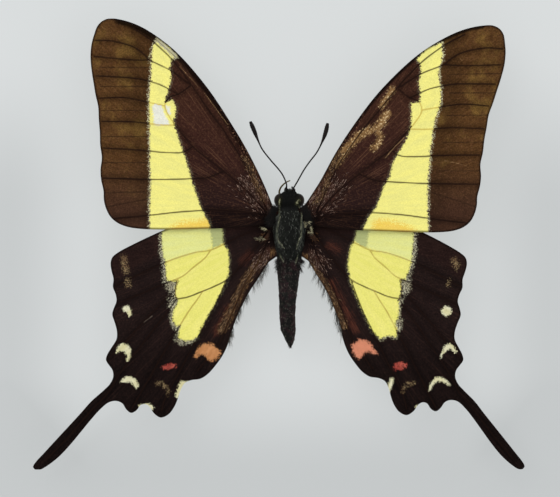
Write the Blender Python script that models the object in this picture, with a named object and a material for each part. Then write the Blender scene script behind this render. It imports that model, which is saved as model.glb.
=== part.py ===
"""Eurytides asius, a swallowtail butterfly, life size: wings spread flat, standing on six legs.

The head looks along +Y, +X is to the insect's right and Z is up. All design sizes are in
millimetres; a wing's plan is drawn once, for the left side, as distances out from the body's
midline and forward from the origin.
"""

import math
from dataclasses import dataclass, field

import bmesh
import bpy
from mathutils import Vector
from mathutils.geometry import delaunay_2d_cdt

MM = 0.001
GAP = 0.32
MIDLINE = 1.65

# Body: stations along Y, each with its middle's sway to +X, half width, top and bottom height
BODY_STATIONS = (
    (8.40, 0.10, 0.05, 6.35, 6.25),
    (8.25, 0.10, 0.55, 6.85, 5.75),
    (7.80, 0.08, 1.10, 7.35, 5.30),
    (7.20, 0.05, 1.50, 7.65, 5.00),
    (6.50, 0.02, 1.65, 7.70, 4.95),
    (5.75, 0.00, 1.70, 7.45, 5.15),
    (5.40, 0.00, 2.00, 7.65, 4.85),
    (4.60, 0.00, 2.32, 8.20, 4.30),
    (3.60, 0.00, 2.48, 8.60, 3.85),
    (2.40, 0.00, 2.52, 8.85, 3.60),
    (1.00, 0.00, 2.40, 8.80, 3.60),
    (-0.20, 0.00, 2.25, 8.50, 3.80),
    (-1.20, 0.00, 2.00, 8.05, 4.15),
    (-2.00, 0.00, 1.85, 7.65, 4.45),
    (-3.75, -0.10, 1.75, 7.60, 4.40),
    (-6.00, -0.15, 1.52, 7.45, 4.40),
    (-8.25, -0.24, 1.30, 7.20, 4.50),
    (-10.50, -0.30, 1.22, 6.95, 4.60),
    (-12.70, -0.16, 1.16, 6.65, 4.65),
    (-13.60, 0.00, 0.92, 6.40, 4.80),
    (-14.40, 0.10, 0.66, 6.15, 4.95),
    (-15.10, 0.15, 0.33, 5.90, 5.25),
    (-15.45, 0.16, 0.06, 5.65, 5.50),
)
BODY_SIDES = 20
BODY_SQUARENESS = 2.2
HEAD_SPAN = (8.40, 5.75)
THORAX_SPAN = (5.40, -1.85)
ABDOMEN_SPAN = (-2.17, -15.45)
ABDOMEN_SEGMENTS = 8
SEGMENT_GROOVE = 0.06

EYE_PLACE = (1.36, 6.72, 6.35)
EYE_HALF_SIZES = (0.92, 1.02, 1.08)

# Wings: thickness, vein ridges and how the blades lie
BLADE_THICK = 0.50
VEIN_RISE = 0.11
VEIN_HALF_WIDTH = 0.38
FOREWING_HEIGHT = 7.55
EDGE_STEP = 1.05
VEIN_STEP = 1.7
FIELD_STEP = 4.2
LIMB_STEP = 0.75
BLADE_RISE = 0.030
BLADE_ARCH = 0.55
ARCH_REACH = 30.0
TAIL_DROOP = 0.0075
DROOP_START = -20.0

# Forewing plan
COSTA = ((2.45, 5.85), (4.1, 9.75), (6.35, 14.25), (9.05, 18.75), (12.05, 23.25), (15.8, 27.75),
         (18.2, 30.0), (21.35, 32.2), (23.45, 33.2), (25.4, 33.75))
APEX = ((26.9, 33.9), (28.0, 33.5), (28.75, 32.7), (29.2, 31.5))
FORE_MARGIN = ((29.6, 30.0), (29.75, 28.2), (29.6, 26.25), (29.3, 24.3), (29.0, 22.5),
               (28.6, 20.7), (28.5, 18.75), (28.35, 16.8), (28.3, 15.0), (28.05, 13.05),
               (28.25, 11.25), (28.15, 9.75), (27.8, 8.1), (27.75, 6.75))
FORE_CORNER = ((27.4, 5.4), (26.75, 4.2), (25.7, 3.3), (24.2, 2.7))
FORE_REAR = ((22.1, 2.4), (18.65, 2.3), (13.4, 2.4), (8.15, 2.6), (3.6, 3.1))
FORE_ROOT = (5.15, 3.35)

FORE_VEINS = {
    "radius": ((3.3, 5.2), (6.5, 11.85), (9.5, 16.65), (12.65, 21.0), (15.2, 24.75),
               (17.6, 27.8), (19.4, 29.55), (20.9, 30.8), (23.2, 32.3)),
    "cell": ((3.4, 4.9), (6.35, 8.1), (9.2, 10.5), (12.2, 12.9), (14.45, 14.75), (16.4, 17.1),
             (17.75, 18.9), (18.6, 20.7), (18.05, 22.0), (16.5, 22.6), (14.8, 23.8)),
    "radial_fork": ((14.9, 24.0), (17.75, 26.1), (20.9, 27.7), (21.95, 28.7), (23.3, 29.6),
                    (26.45, 30.5), (29.0, 30.6)),
    "radial_branch": ((20.9, 27.7), (22.25, 27.65), (24.35, 27.75), (29.2, 28.2)),
    "media_1": ((16.6, 22.5), (17.9, 23.25), (19.4, 24.0), (21.05, 24.5), (23.0, 24.9),
                (28.9, 25.3)),
    "media_2": ((18.6, 20.8), (20.9, 21.3), (24.5, 22.0), (28.5, 21.95)),
    "media_3": ((17.7, 18.7), (19.4, 17.95), (23.3, 18.4), (28.1, 18.5)),
    "cubitus_1": ((14.5, 14.7), (15.8, 13.9), (17.9, 13.8), (22.7, 14.2), (27.8, 14.5)),
    "cubitus_2": ((9.9, 11.0), (12.2, 10.1), (14.9, 9.9), (20.15, 9.8), (27.8, 10.0)),
    "anal": ((3.5, 4.5), (9.65, 5.2), (15.65, 5.0), (21.2, 4.4), (26.2, 3.95)),
}

# Hindwing plan
HIND_FRONT = ((2.9, 4.2), (7.4, 4.8), (12.65, 4.1), (16.4, 3.2), (18.65, 2.3), (20.9, 1.3),
              (23.6, 0.0), (25.55, -1.05), (26.5, -1.8))
HIND_MARGIN = ((26.8, -2.7), (26.65, -3.9), (26.35, -5.1), (26.45, -6.3), (26.05, -7.35),
               (25.9, -8.4), (26.3, -9.45), (26.55, -10.4), (26.2, -11.55), (25.85, -12.9),
               (25.9, -14.1), (26.6, -15.3), (27.25, -16.35), (27.5, -17.25), (27.05, -18.0),
               (26.5, -18.8), (26.4, -19.8), (26.9, -20.85))
TAIL_ROOT = ((27.95, -21.9), (27.05, -23.6))
TAIL_OUTER = ((29.75, -23.5), (31.4, -25.35), (33.2, -27.3), (35.15, -29.4), (36.95, -31.35),
              (38.2, -32.7))
TAIL_TIP = ((38.65, -33.45), (38.3, -33.9), (37.6, -33.9))
TAIL_INNER = ((36.5, -33.3), (34.7, -31.9), (32.9, -30.0), (31.4, -28.2), (29.75, -26.2),
              (28.4, -24.7))
HIND_LOBES = ((25.9, -23.4), (25.0, -23.8), (24.5, -24.6), (23.75, -25.2), (22.9, -24.8),
              (22.3, -24.0), (21.55, -23.85), (20.9, -24.3), (20.35, -25.2), (19.3, -25.9),
              (18.1, -25.4), (17.2, -24.2), (16.7, -23.0), (16.3, -21.75), (15.65, -20.7),
              (14.6, -20.25))
HIND_INNER = ((13.4, -20.1), (12.2, -19.35), (11.0, -18.0), (9.95, -16.5), (9.05, -14.5),
              (8.3, -12.0), (7.3, -9.6), (5.9, -6.9), (4.4, -4.65), (3.05, -2.55))
HIND_ROOT = (4.05, -1.1)

HIND_VEINS = {
    "costa": ((3.3, 4.0), (8.9, 3.15), (12.2, 2.8), (15.65, 1.8), (18.65, 0.75),
              (21.65, -0.45), (25.9, -2.1)),
    "radius": ((3.2, 3.1), (8.0, 1.05), (11.75, -0.75), (14.0, -1.1), (16.4, -1.8),
               (18.3, -2.5), (21.6, -3.95), (25.9, -6.05)),
    "media_1": ((11.75, -0.75), (12.6, -1.9), (14.3, -3.3), (15.95, -4.65), (17.7, -5.43),
                (19.1, -5.95), (21.95, -7.2), (23.95, -8.0), (25.7, -8.85)),
    "cell_end": ((16.7, -5.0), (17.0, -6.3), (17.1, -7.4), (16.85, -8.1)),
    "media_2": ((17.05, -6.7), (19.5, -9.1), (22.3, -12.0), (24.9, -14.9), (27.0, -16.9)),
    "media_3": ((16.85, -8.1), (18.9, -10.8), (21.3, -13.9), (23.7, -17.0), (25.6, -19.6),
                (26.9, -21.7)),
    "cubitus": ((3.3, 1.95), (5.6, -1.05), (7.7, -3.6), (9.5, -5.3), (11.45, -6.3),
                (13.4, -7.1), (15.2, -7.8), (16.85, -8.1)),
    "cubitus_1": ((12.95, -6.9), (13.85, -8.25), (15.05, -9.9), (16.7, -12.6), (18.6, -15.8),
                  (20.6, -19.3), (22.4, -22.4), (23.6, -24.5)),
    "cubitus_2": ((9.49, -5.4), (10.76, -8.33), (11.74, -10.35), (12.79, -12.23), (14.1, -14.6),
                  (15.6, -17.4), (17.2, -20.3), (18.6, -23.0), (19.2, -24.9)),
    "anal": ((3.1, 0.75), (4.7, -2.55), (6.5, -5.55), (8.0, -8.85), (9.35, -12.0),
             (10.55, -14.85), (12.2, -16.95), (13.8, -18.9)),
}
TAIL_VEIN = ((28.6, -23.6), (29.9, -25.05), (32.9, -28.5), (36.65, -32.4))

# The right wings are spread a little differently: millimetres for 1, u, v, uu, uv, vv,
# where u and v are the left wing's distances out and forward in units of 30 mm
SPREAD_UNIT = 30.0
RIGHT_FORE_OUT = (1.16, 29.49, -2.82, -0.33, 1.76, 3.54)
RIGHT_FORE_FORWARD = (-0.38, 0.57, 29.86, -0.84, -1.27, 0.74)
RIGHT_HIND_OUT = (-0.08, 31.89, 3.04, -1.88, -0.03, 0.77)
RIGHT_HIND_FORWARD = (0.12, -0.28, 29.61, 0.03, 0.56, 0.52)
SAME_OUT = (0.0, SPREAD_UNIT, 0.0, 0.0, 0.0, 0.0)
SAME_FORWARD = (0.0, 0.0, SPREAD_UNIT, 0.0, 0.0, 0.0)

# Feelers, mouthparts and legs: routes as (out from the midline, Y, height), which start
# from a root on the body, given as its place along Y and its angle up from the side
STALK = 0.45
ANTENNA_ROOT = (8.0, 62.0)
ANTENNA_ROUTES = {
    -1: ((0.42, 9.1, 8.0), (0.64, 9.75, 8.15), (1.01, 10.5, 8.3), (1.54, 11.25, 8.4),
         (2.92, 12.84, 8.6), (4.1, 14.4, 8.75), (4.7, 15.7, 8.85), (5.18, 16.9, 8.9),
         (5.83, 18.45, 8.95)),
    1: ((0.86, 8.9, 7.95), (1.16, 9.4, 8.1), (1.61, 10.2, 8.25), (2.21, 11.25, 8.4),
        (3.07, 12.48, 8.6), (4.15, 13.9, 8.75), (4.99, 15.6, 8.85), (5.45, 16.9, 8.9),
        (5.74, 18.2, 8.95)),
}
FEELER_SIDES = 8
ANTENNA_RADIUS = 0.25
CLUB_RADIUS = 0.34
CLUB_START = 0.80

PROBOSCIS_ROOT = (7.5, -84.0)
PROBOSCIS_ROUTE = ((0.65, 7.15, 4.1), (1.15, 7.3, 4.15), (1.5, 7.9, 4.3), (1.32, 8.6, 4.6),
                   (0.94, 9.08, 4.85), (0.49, 9.45, 5.0), (-0.15, 9.75, 5.1))
PROBOSCIS_RADIUS = 0.25
PROBOSCIS_TIP_RADIUS = 0.14

PALP_ROOT = (7.95, -50.0)
PALP_ROUTE = ((0.5, 8.7, 5.15), (0.42, 8.85, 5.6), (0.38, 8.85, 6.05))
PALP_RADIUS = 0.26
PALP_TIP_RADIUS = 0.16

LEG_ROOTS = {"fore": (4.3, -66.0), "mid": (2.2, -66.0), "hind": (0.3, -66.0)}
LEG_ROUTES = {
    "fore": ((2.2, 5.0, 3.4), (3.6, 5.4, 4.4), (4.4, 5.6, 3.5), (5.2, 5.9, 1.3),
             (5.45, 6.0, 0.22), (6.1, 6.5, 0.18), (6.6, 6.9, 0.15)),
    "mid": ((2.4, 2.3, 2.9), (4.3, 2.2, 4.3), (5.2, 2.1, 3.4), (6.3, 1.9, 1.1),
            (6.75, 1.85, 0.22), (7.6, 1.95, 0.18), (8.2, 2.1, 0.15)),
    "hind": ((1.95, -0.7, 3.0), (3.3, -2.6, 4.4), (4.0, -3.4, 3.5), (4.9, -4.7, 1.1),
             (5.15, -5.2, 0.22), (5.6, -6.0, 0.18), (5.95, -6.6, 0.15)),
}
LEG_SIDES = 8
LEG_RADII = (0.42, 0.38, 0.30, 0.27, 0.25, 0.25)

COLOURS = {
    "head": (0.035, 0.032, 0.028),
    "thorax": (0.030, 0.028, 0.026),
    "abdomen": (0.025, 0.024, 0.022),
    "eye": (0.020, 0.014, 0.012),
    "limb": (0.016, 0.013, 0.011),
    "proboscis": (0.210, 0.120, 0.040),
    "forewing": (0.090, 0.052, 0.025),
    "hindwing": (0.840, 0.760, 0.260),
    "tail": (0.012, 0.007, 0.006),
}


@dataclass(frozen=True)
class Spread:
    """How one wing is set: where the left plan's points come to lie on this wing."""

    side: int
    out: tuple = SAME_OUT
    forward: tuple = SAME_FORWARD

    def place(self, point):
        """Return the world X and Y, in millimetres, of a point of the left wing's plan."""
        u = point[0] / SPREAD_UNIT
        v = point[1] / SPREAD_UNIT
        terms = (1.0, u, v, u * u, u * v, v * v)
        out = sum(k * t for k, t in zip(self.out, terms))
        forward = sum(k * t for k, t in zip(self.forward, terms))
        return MIDLINE + self.side * out, forward


@dataclass
class Blade:
    """A wing's membrane in plan: its edge and the veins that stand up from it."""

    name: str
    spread: Spread
    height: float
    edge: list
    veins: list
    rib: list = field(default_factory=list)


def clear_scene():
    """Remove every object that the scene starts with."""
    for found in list(bpy.data.objects):
        bpy.data.objects.remove(found, do_unlink=True)


def finish_material(name, colour, roughness):
    """Return a material of one plain colour."""
    material = bpy.data.materials.new(name)
    material.use_nodes = True
    shader = material.node_tree.nodes["Principled BSDF"]
    shader.inputs["Base Color"].default_value = (*colour, 1.0)
    shader.inputs["Roughness"].default_value = roughness
    shader.inputs["Metallic"].default_value = 0.0
    return material


def add_node(name, mesh, colour, roughness=0.6):
    """Link a bmesh, built in millimetres, as one named object with its own material."""
    bmesh.ops.scale(mesh, vec=(MM, MM, MM), verts=mesh.verts)
    bmesh.ops.triangulate(mesh, faces=mesh.faces)
    bmesh.ops.recalc_face_normals(mesh, faces=mesh.faces)
    data = bpy.data.meshes.new(name)
    mesh.to_mesh(data)
    mesh.free()
    data.shade_smooth()
    data.set_sharp_from_angle(angle=math.radians(40.0))
    data.materials.append(finish_material(name, colour, roughness))
    node = bpy.data.objects.new(name, data)
    bpy.context.scene.collection.objects.link(node)
    return node


def ease(a, b, t):
    """Blend from a to b along a straight line."""
    return a + (b - a) * t


def spline(points, step):
    """Return a smooth line through the points, with about one point for each step."""
    knots = [Vector(p) for p in points]
    before = knots[0] * 2.0 - knots[1]
    after = knots[-1] * 2.0 - knots[-2]
    knots = [before, *knots, after]
    line = []
    for p0, p1, p2, p3 in zip(knots, knots[1:], knots[2:], knots[3:]):
        count = max(1, round((p2 - p1).length / step))
        for i in range(count):
            line.append(spline_point(p0, p1, p2, p3, i / count))
    line.append(knots[-2])
    return line


def spline_point(p0, p1, p2, p3, t):
    """Return the point at t between p1 and p2 of a centripetal Catmull-Rom curve."""
    t0 = 0.0
    t1 = t0 + max(1e-6, (p1 - p0).length ** 0.5)
    t2 = t1 + max(1e-6, (p2 - p1).length ** 0.5)
    t3 = t2 + max(1e-6, (p3 - p2).length ** 0.5)
    s = ease(t1, t2, t)
    a1 = p0.lerp(p1, (s - t0) / (t1 - t0))
    a2 = p1.lerp(p2, (s - t1) / (t2 - t1))
    a3 = p2.lerp(p3, (s - t2) / (t3 - t2))
    b1 = a1.lerp(a2, (s - t0) / (t2 - t0))
    b2 = a2.lerp(a3, (s - t1) / (t3 - t1))
    return b1.lerp(b2, (s - t1) / (t2 - t1))


def body_section(y):
    """Return the body's sway, half width, top and bottom at a distance along it."""
    stations = BODY_STATIONS
    for front, rear in zip(stations, stations[1:]):
        if front[0] >= y >= rear[0]:
            t = (front[0] - y) / (front[0] - rear[0])
            return tuple(ease(a, b, t) for a, b in zip(front[1:], rear[1:]))
    raise ValueError(f"no body at {y}")


def body_half_width(y, z):
    """Return how far the body's side lies from the midline at a place along it and a height."""
    _, half_width, top, bottom = body_section(y)
    middle = (top + bottom) / 2.0
    share = min(0.999, abs(z - middle) / ((top - bottom) / 2.0))
    return half_width * (1.0 - share ** BODY_SQUARENESS) ** (1.0 / BODY_SQUARENESS)


def body_point(y, angle, shrink=0.0):
    """Return the point of the body's surface at a distance along it and an angle round it."""
    sway, half_width, top, bottom = body_section(y)
    half_height = max(0.02, (top - bottom) / 2.0 - shrink)
    half_width = max(0.02, half_width - shrink)
    power = 2.0 / BODY_SQUARENESS
    across = math.copysign(abs(math.cos(angle)) ** power, math.cos(angle))
    up = math.copysign(abs(math.sin(angle)) ** power, math.sin(angle))
    middle = (top + bottom) / 2.0
    return Vector((MIDLINE + sway + half_width * across, y, middle + half_height * up))


def body_normal(y, angle):
    """Return the direction straight out of the body's surface."""
    along = body_point(y + 0.05, angle) - body_point(y - 0.05, angle)
    around = body_point(y, angle + 0.05) - body_point(y, angle - 0.05)
    return around.cross(along).normalized() * -1.0


def body_ring(y, shrink=0.0):
    """Return the points round the body at a distance along it."""
    turn = 2.0 * math.pi / BODY_SIDES
    return [body_point(y, turn * i, shrink) for i in range(BODY_SIDES)]


def grown_route(root, route, side):
    """Return a route that leaves the body straight out of its root, one gap off the surface."""
    y, degrees = root
    angle = math.radians(degrees if side > 0 else 180.0 - degrees)
    start = body_point(y, angle)
    away = body_normal(y, angle)
    stalk = [start + GAP * away, start + (GAP + STALK) * away]
    return stalk + [Vector((MIDLINE + side * out, y, z)) for out, y, z in route]


def loft(rings):
    """Join rings of equal count into one closed tube with flat ends."""
    mesh = bmesh.new()
    loops = [[mesh.verts.new(point) for point in ring] for ring in rings]
    count = len(loops[0])
    for front, rear in zip(loops, loops[1:]):
        for i in range(count):
            j = (i + 1) % count
            mesh.faces.new((front[i], front[j], rear[j], rear[i]))
    mesh.faces.new(loops[0])
    mesh.faces.new(list(reversed(loops[-1])))
    return mesh


def body_piece(span, step):
    """Return the body's skin between two distances along it, with a ring for each step."""
    first, last = span
    stations = {y for y, *_ in BODY_STATIONS if first > y > last}
    count = max(2, round((first - last) / step))
    stations |= {ease(first, last, i / count) for i in range(count + 1)}
    kept = []
    for y in sorted(stations, reverse=True):
        if not kept or kept[-1] - y > step * 0.3 or y == last:
            kept.append(y)
    return loft([body_ring(y) for y in kept])


def abdomen_piece():
    """Return the abdomen, drawn in a little where its segments meet."""
    first, last = ABDOMEN_SPAN
    length = (first - last) / ABDOMEN_SEGMENTS
    rings = []
    for segment in range(ABDOMEN_SEGMENTS):
        for share, shrink in ((0.0, SEGMENT_GROOVE), (0.25, 0.0), (0.7, 0.0)):
            rings.append(body_ring(first - length * (segment + share), shrink))
    rings.append(body_ring(last))
    return loft(rings)


def tube(route, radii, sides):
    """Return a closed tube along a route, its radius read along it from a few values."""
    line = spline(route, LIMB_STEP)
    mesh_rings = []
    turned = Vector((0.0, 0.0, 1.0))
    for i, point in enumerate(line):
        ahead = line[min(i + 1, len(line) - 1)]
        behind = line[max(i - 1, 0)]
        along = (ahead - behind).normalized()
        across = along.cross(turned).normalized()
        turned = across.cross(along).normalized()
        radius = spread_value(radii, i / (len(line) - 1))
        ring = []
        for k in range(sides):
            angle = 2.0 * math.pi * k / sides
            ring.append(point + radius * (math.cos(angle) * across + math.sin(angle) * turned))
        mesh_rings.append(ring)
    return loft(mesh_rings)


def spread_value(values, t):
    """Read a value at t from 0 to 1 along an evenly spread row of values."""
    place = t * (len(values) - 1)
    low = min(int(place), len(values) - 2)
    return ease(values[low], values[low + 1], place - low)


def flatten_on_floor(mesh):
    """Press whatever lies under the floor flat onto it."""
    for vertex in mesh.verts:
        vertex.co.z = max(0.0, vertex.co.z)


def blade_height(x, y):
    """Return how far a wing's middle surface lies above its root, at a world place."""
    out = abs(x - MIDLINE)
    arch = BLADE_ARCH * (1.0 - ((out - ARCH_REACH / 2.0) / (ARCH_REACH / 2.0)) ** 2)
    droop = TAIL_DROOP * min(0.0, y - DROOP_START) ** 2
    return BLADE_RISE * out + arch - droop


def distance_to_line(point, line):
    """Return the distance in plan from a point to a broken line."""
    best = math.inf
    for a, b in zip(line, line[1:]):
        run = b - a
        t = max(0.0, min(1.0, (point - a).dot(run) / run.length_squared))
        best = min(best, (point - a - t * run).length)
    return best


def side_line(line, offset):
    """Return a line beside another one, to its left where the offset is positive."""
    moved = []
    for i, point in enumerate(line):
        run = line[min(i + 1, len(line) - 1)] - line[max(i - 1, 0)]
        run.normalize()
        moved.append(point + offset * Vector((-run.y, run.x)))
    return moved


def inside(point, loop):
    """Tell whether a point in plan lies inside a closed loop."""
    within = False
    for a, b in zip(loop, loop[1:] + loop[:1]):
        if (a.y > point.y) != (b.y > point.y):
            crossing = a.x + (point.y - a.y) * (b.x - a.x) / (b.y - a.y)
            within ^= point.x < crossing
    return within


def blade_plan(blade):
    """Return the wing's plan as points and triangles, with a fold line along each vein."""
    edge = blade.edge
    points = list(edge)
    loops = [list(range(len(edge)))]
    folds = []
    rim = edge + edge[:1]
    for vein in blade.veins:
        for offset in (0.0, VEIN_HALF_WIDTH, -VEIN_HALF_WIDTH):
            line = [p for p in side_line(vein, offset)
                    if inside(p, edge) and distance_to_line(p, rim) > 0.3]
            folds += [(len(points) + i, len(points) + i + 1) for i in range(len(line) - 1)]
            points += line
    ridges = blade.veins
    for point in field_points(edge):
        if distance_to_line(point, rim) < 1.6:
            continue
        if min(distance_to_line(point, ridge) for ridge in ridges) > 1.4:
            points.append(point)
    found = delaunay_2d_cdt(points, folds, loops, 1, 1e-4)
    return found[0], [tuple(face) for face in found[2]]


def field_points(edge, spacing=FIELD_STEP):
    """Return points of an even triangular grid that covers the wing's plan."""
    low_x = min(p.x for p in edge)
    low_y = min(p.y for p in edge)
    rows = int((max(p.y for p in edge) - low_y) / (spacing * 0.866)) + 1
    columns = int((max(p.x for p in edge) - low_x) / spacing) + 1
    grid = []
    for row in range(rows):
        for column in range(columns):
            shift = spacing / 2.0 if row % 2 else 0.0
            place = Vector((low_x + column * spacing + shift, low_y + row * spacing * 0.866))
            if inside(place, edge):
                grid.append(place)
    return grid


def vein_rise(blade, point):
    """Return how far the membrane is raised at a point by the veins near it."""
    nearest = min(distance_to_line(point, vein) for vein in blade.veins)
    if blade.rib:
        nearest = min(nearest, distance_to_line(point, blade.rib))
    return VEIN_RISE * max(0.0, 1.0 - nearest / VEIN_HALF_WIDTH)


def blade_mesh(blade):
    """Return a wing as one closed sheet whose two faces carry the same triangles."""
    points, triangles = blade_plan(blade)
    mesh = bmesh.new()
    upper = []
    lower = []
    for point in points:
        middle = blade.height + blade_height(point.x, point.y)
        half = BLADE_THICK / 2.0 + vein_rise(blade, point)
        upper.append(mesh.verts.new((point.x, point.y, middle + half)))
        lower.append(mesh.verts.new((point.x, point.y, middle - half)))
    counted = {}
    for a, b, c in triangles:
        mesh.faces.new((upper[a], upper[b], upper[c]))
        mesh.faces.new((lower[c], lower[b], lower[a]))
        for pair in ((a, b), (b, c), (c, a)):
            key = tuple(sorted(pair))
            counted[key] = None if key in counted else pair
    for pair in counted.values():
        if pair:
            a, b = pair
            mesh.faces.new((upper[b], upper[a], lower[a], lower[b]))
    loose = [v for v in mesh.verts if not v.link_faces]
    bmesh.ops.delete(mesh, geom=loose, context="VERTS")
    return mesh


def root_edge(span, height, side):
    """Return the wing's root along the thorax from rear to front, one gap away from it."""
    front, rear = span
    low = height - BLADE_THICK / 2.0
    high = height + BLADE_THICK / 2.0
    count = 5
    line = []
    for i in range(count):
        y = ease(rear, front, i / (count - 1))
        reach = max(body_half_width(y, low), body_half_width(y, high)) + GAP
        line.append(Vector((MIDLINE + side * reach, y)))
    return line


def placed(spread, points, step=EDGE_STEP):
    """Return a smooth line in the world through points of the left wing's plan."""
    return [Vector(p) for p in spline([spread.place(p) for p in points], step)]


def forewing(side):
    """Return one forewing's blade."""
    if side > 0:
        spread = Spread(side, RIGHT_FORE_OUT, RIGHT_FORE_FORWARD)
    else:
        spread = Spread(side)
    rim = placed(spread, COSTA + APEX + FORE_MARGIN + FORE_CORNER + FORE_REAR)
    costa = placed(spread, COSTA)
    edge = rim + root_edge(FORE_ROOT, FOREWING_HEIGHT + blade_height(MIDLINE + 2.5, 0.0), side)
    veins = [placed(spread, vein, VEIN_STEP) for vein in FORE_VEINS.values()]
    return Blade(side_name("forewing", side), spread, FOREWING_HEIGHT, edge, veins, costa)


def hindwing(side):
    """Return one hindwing's blade and its tail's, cut apart across the tail's root."""
    if side > 0:
        spread = Spread(side, RIGHT_HIND_OUT, RIGHT_HIND_FORWARD)
    else:
        spread = Spread(side)
    height = FOREWING_HEIGHT - BLADE_THICK - 2.0 * VEIN_RISE - GAP
    outer, inner = TAIL_ROOT
    front = placed(spread, HIND_FRONT + HIND_MARGIN + (outer,))
    rear = placed(spread, (inner,) + HIND_LOBES + HIND_INNER)
    root = root_edge(HIND_ROOT, height + blade_height(MIDLINE + 2.5, 0.0), side)
    veins = [placed(spread, vein, VEIN_STEP) for vein in HIND_VEINS.values()]
    wing = Blade(side_name("hindwing", side), spread, height, front + rear + root, veins)
    away = Vector((outer[1] - inner[1], inner[0] - outer[0])).normalized() * GAP
    far_outer = Vector(outer) + away
    far_inner = Vector(inner) + away
    tail_rim = (far_outer, *TAIL_OUTER, *TAIL_TIP, *TAIL_INNER, far_inner)
    tail = Blade(side_name("tail", side), spread, height, placed(spread, tail_rim),
                 [placed(spread, TAIL_VEIN, VEIN_STEP)])
    return wing, tail


def side_name(name, side):
    """Return a node's name with its side."""
    return f"{name}_right" if side > 0 else f"{name}_left"


def head_with_sockets():
    """Make the head, hollowed where each eye sits in it."""
    head = add_node("head", body_piece(HEAD_SPAN, 0.4), COLOURS["head"])
    sockets = bpy.data.collections.new("eye_sockets")
    for side in (-1, 1):
        mesh = eye_ball(side, GAP)
        cutter = add_node(side_name("socket", side), mesh, COLOURS["eye"])
        cutter.hide_render = True
        cutter.display_type = "WIRE"
        sockets.objects.link(cutter)
    carve = head.modifiers.new("sockets", "BOOLEAN")
    carve.operand_type = "COLLECTION"
    carve.collection = sockets
    carve.operation = "DIFFERENCE"
    carve.solver = "EXACT"
    return head


def eye_ball(side, grow):
    """Return one eye's rounded body, larger all round by a given amount."""
    mesh = bmesh.new()
    bmesh.ops.create_uvsphere(mesh, u_segments=20, v_segments=12, radius=1.0)
    sizes = [half + grow for half in EYE_HALF_SIZES]
    bmesh.ops.scale(mesh, vec=sizes, verts=mesh.verts)
    out, y, z = EYE_PLACE
    bmesh.ops.translate(mesh, vec=(MIDLINE + side * out, y, z), verts=mesh.verts)
    return mesh


def add_body():
    """Add the head, thorax and abdomen and the eyes."""
    head_with_sockets()
    add_node("thorax", body_piece(THORAX_SPAN, 0.6), COLOURS["thorax"])
    add_node("abdomen", abdomen_piece(), COLOURS["abdomen"])
    for side in (-1, 1):
        add_node(side_name("eye", side), eye_ball(side, 0.0), COLOURS["eye"], 0.25)


def add_feelers():
    """Add the clubbed antennae, the palps and the proboscis."""
    shaft_share = round(CLUB_START * 20)
    radii = [ANTENNA_RADIUS] * shaft_share + [CLUB_RADIUS] * (20 - shaft_share)
    for side, route in ANTENNA_ROUTES.items():
        route = grown_route(ANTENNA_ROOT, route, side)
        shape = tube(route, radii + [ANTENNA_RADIUS * 0.6], FEELER_SIDES)
        add_node(side_name("antenna", side), shape, COLOURS["limb"])
    for side in (-1, 1):
        route = grown_route(PALP_ROOT, PALP_ROUTE, side)
        shape = tube(route, (PALP_RADIUS, PALP_TIP_RADIUS), FEELER_SIDES)
        add_node(side_name("palp", side), shape, COLOURS["limb"])
    radii = (PROBOSCIS_RADIUS, PROBOSCIS_RADIUS, PROBOSCIS_RADIUS, PROBOSCIS_TIP_RADIUS)
    shape = tube(grown_route(PROBOSCIS_ROOT, PROBOSCIS_ROUTE, -1), radii, FEELER_SIDES)
    add_node("proboscis", shape, COLOURS["proboscis"], 0.4)


def add_legs():
    """Add the six legs, each ending in a foot whose underside is flat on the floor."""
    for place, route in LEG_ROUTES.items():
        for side in (-1, 1):
            shape = tube(grown_route(LEG_ROOTS[place], route, side), LEG_RADII, LEG_SIDES)
            flatten_on_floor(shape)
            add_node(side_name(f"leg_{place}", side), shape, COLOURS["limb"])


def add_wings():
    """Add the four wings and the two tails."""
    for side in (-1, 1):
        fore = forewing(side)
        add_node(fore.name, blade_mesh(fore), COLOURS["forewing"], 0.8)
        hind, tail = hindwing(side)
        add_node(hind.name, blade_mesh(hind), COLOURS["hindwing"], 0.8)
        add_node(tail.name, blade_mesh(tail), COLOURS["tail"], 0.8)


def main():
    """Build the butterfly."""
    clear_scene()
    add_body()
    add_feelers()
    add_legs()
    add_wings()


main()
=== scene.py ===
"""Looks of a spread swallowtail butterfly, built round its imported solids.

Design sizes are in millimetres in the solids' own frame: the head looks along +Y, +X is to the
insect's right and Z is up. A wing's plan is given as distances out from the body's midline and
forward from the origin.
"""

import logging
import math
from dataclasses import dataclass, field
from enum import Enum

import bmesh
import bpy
import numpy as np
from mathutils import Matrix, Vector

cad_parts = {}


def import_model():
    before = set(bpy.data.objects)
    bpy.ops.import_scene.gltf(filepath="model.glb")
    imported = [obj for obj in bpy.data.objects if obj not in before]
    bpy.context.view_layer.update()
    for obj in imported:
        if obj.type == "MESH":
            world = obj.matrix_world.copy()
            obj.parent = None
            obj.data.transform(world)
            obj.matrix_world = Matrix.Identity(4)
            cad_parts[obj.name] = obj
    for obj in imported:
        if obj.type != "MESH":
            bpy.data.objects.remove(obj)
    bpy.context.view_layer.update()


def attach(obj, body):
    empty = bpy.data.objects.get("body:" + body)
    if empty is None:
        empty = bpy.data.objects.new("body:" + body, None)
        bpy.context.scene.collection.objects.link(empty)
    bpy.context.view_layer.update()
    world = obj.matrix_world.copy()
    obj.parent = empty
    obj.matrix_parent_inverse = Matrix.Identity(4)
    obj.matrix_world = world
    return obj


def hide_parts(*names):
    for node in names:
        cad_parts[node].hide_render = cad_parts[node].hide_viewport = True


LOG = logging.getLogger("butterfly")

MM = 0.001
MIDLINE = 1.65
BODY = "root"

# Light on a level white surface, which turns a colour as seen into a colour as dyed
LIGHT_GAIN = 1.15

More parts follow.
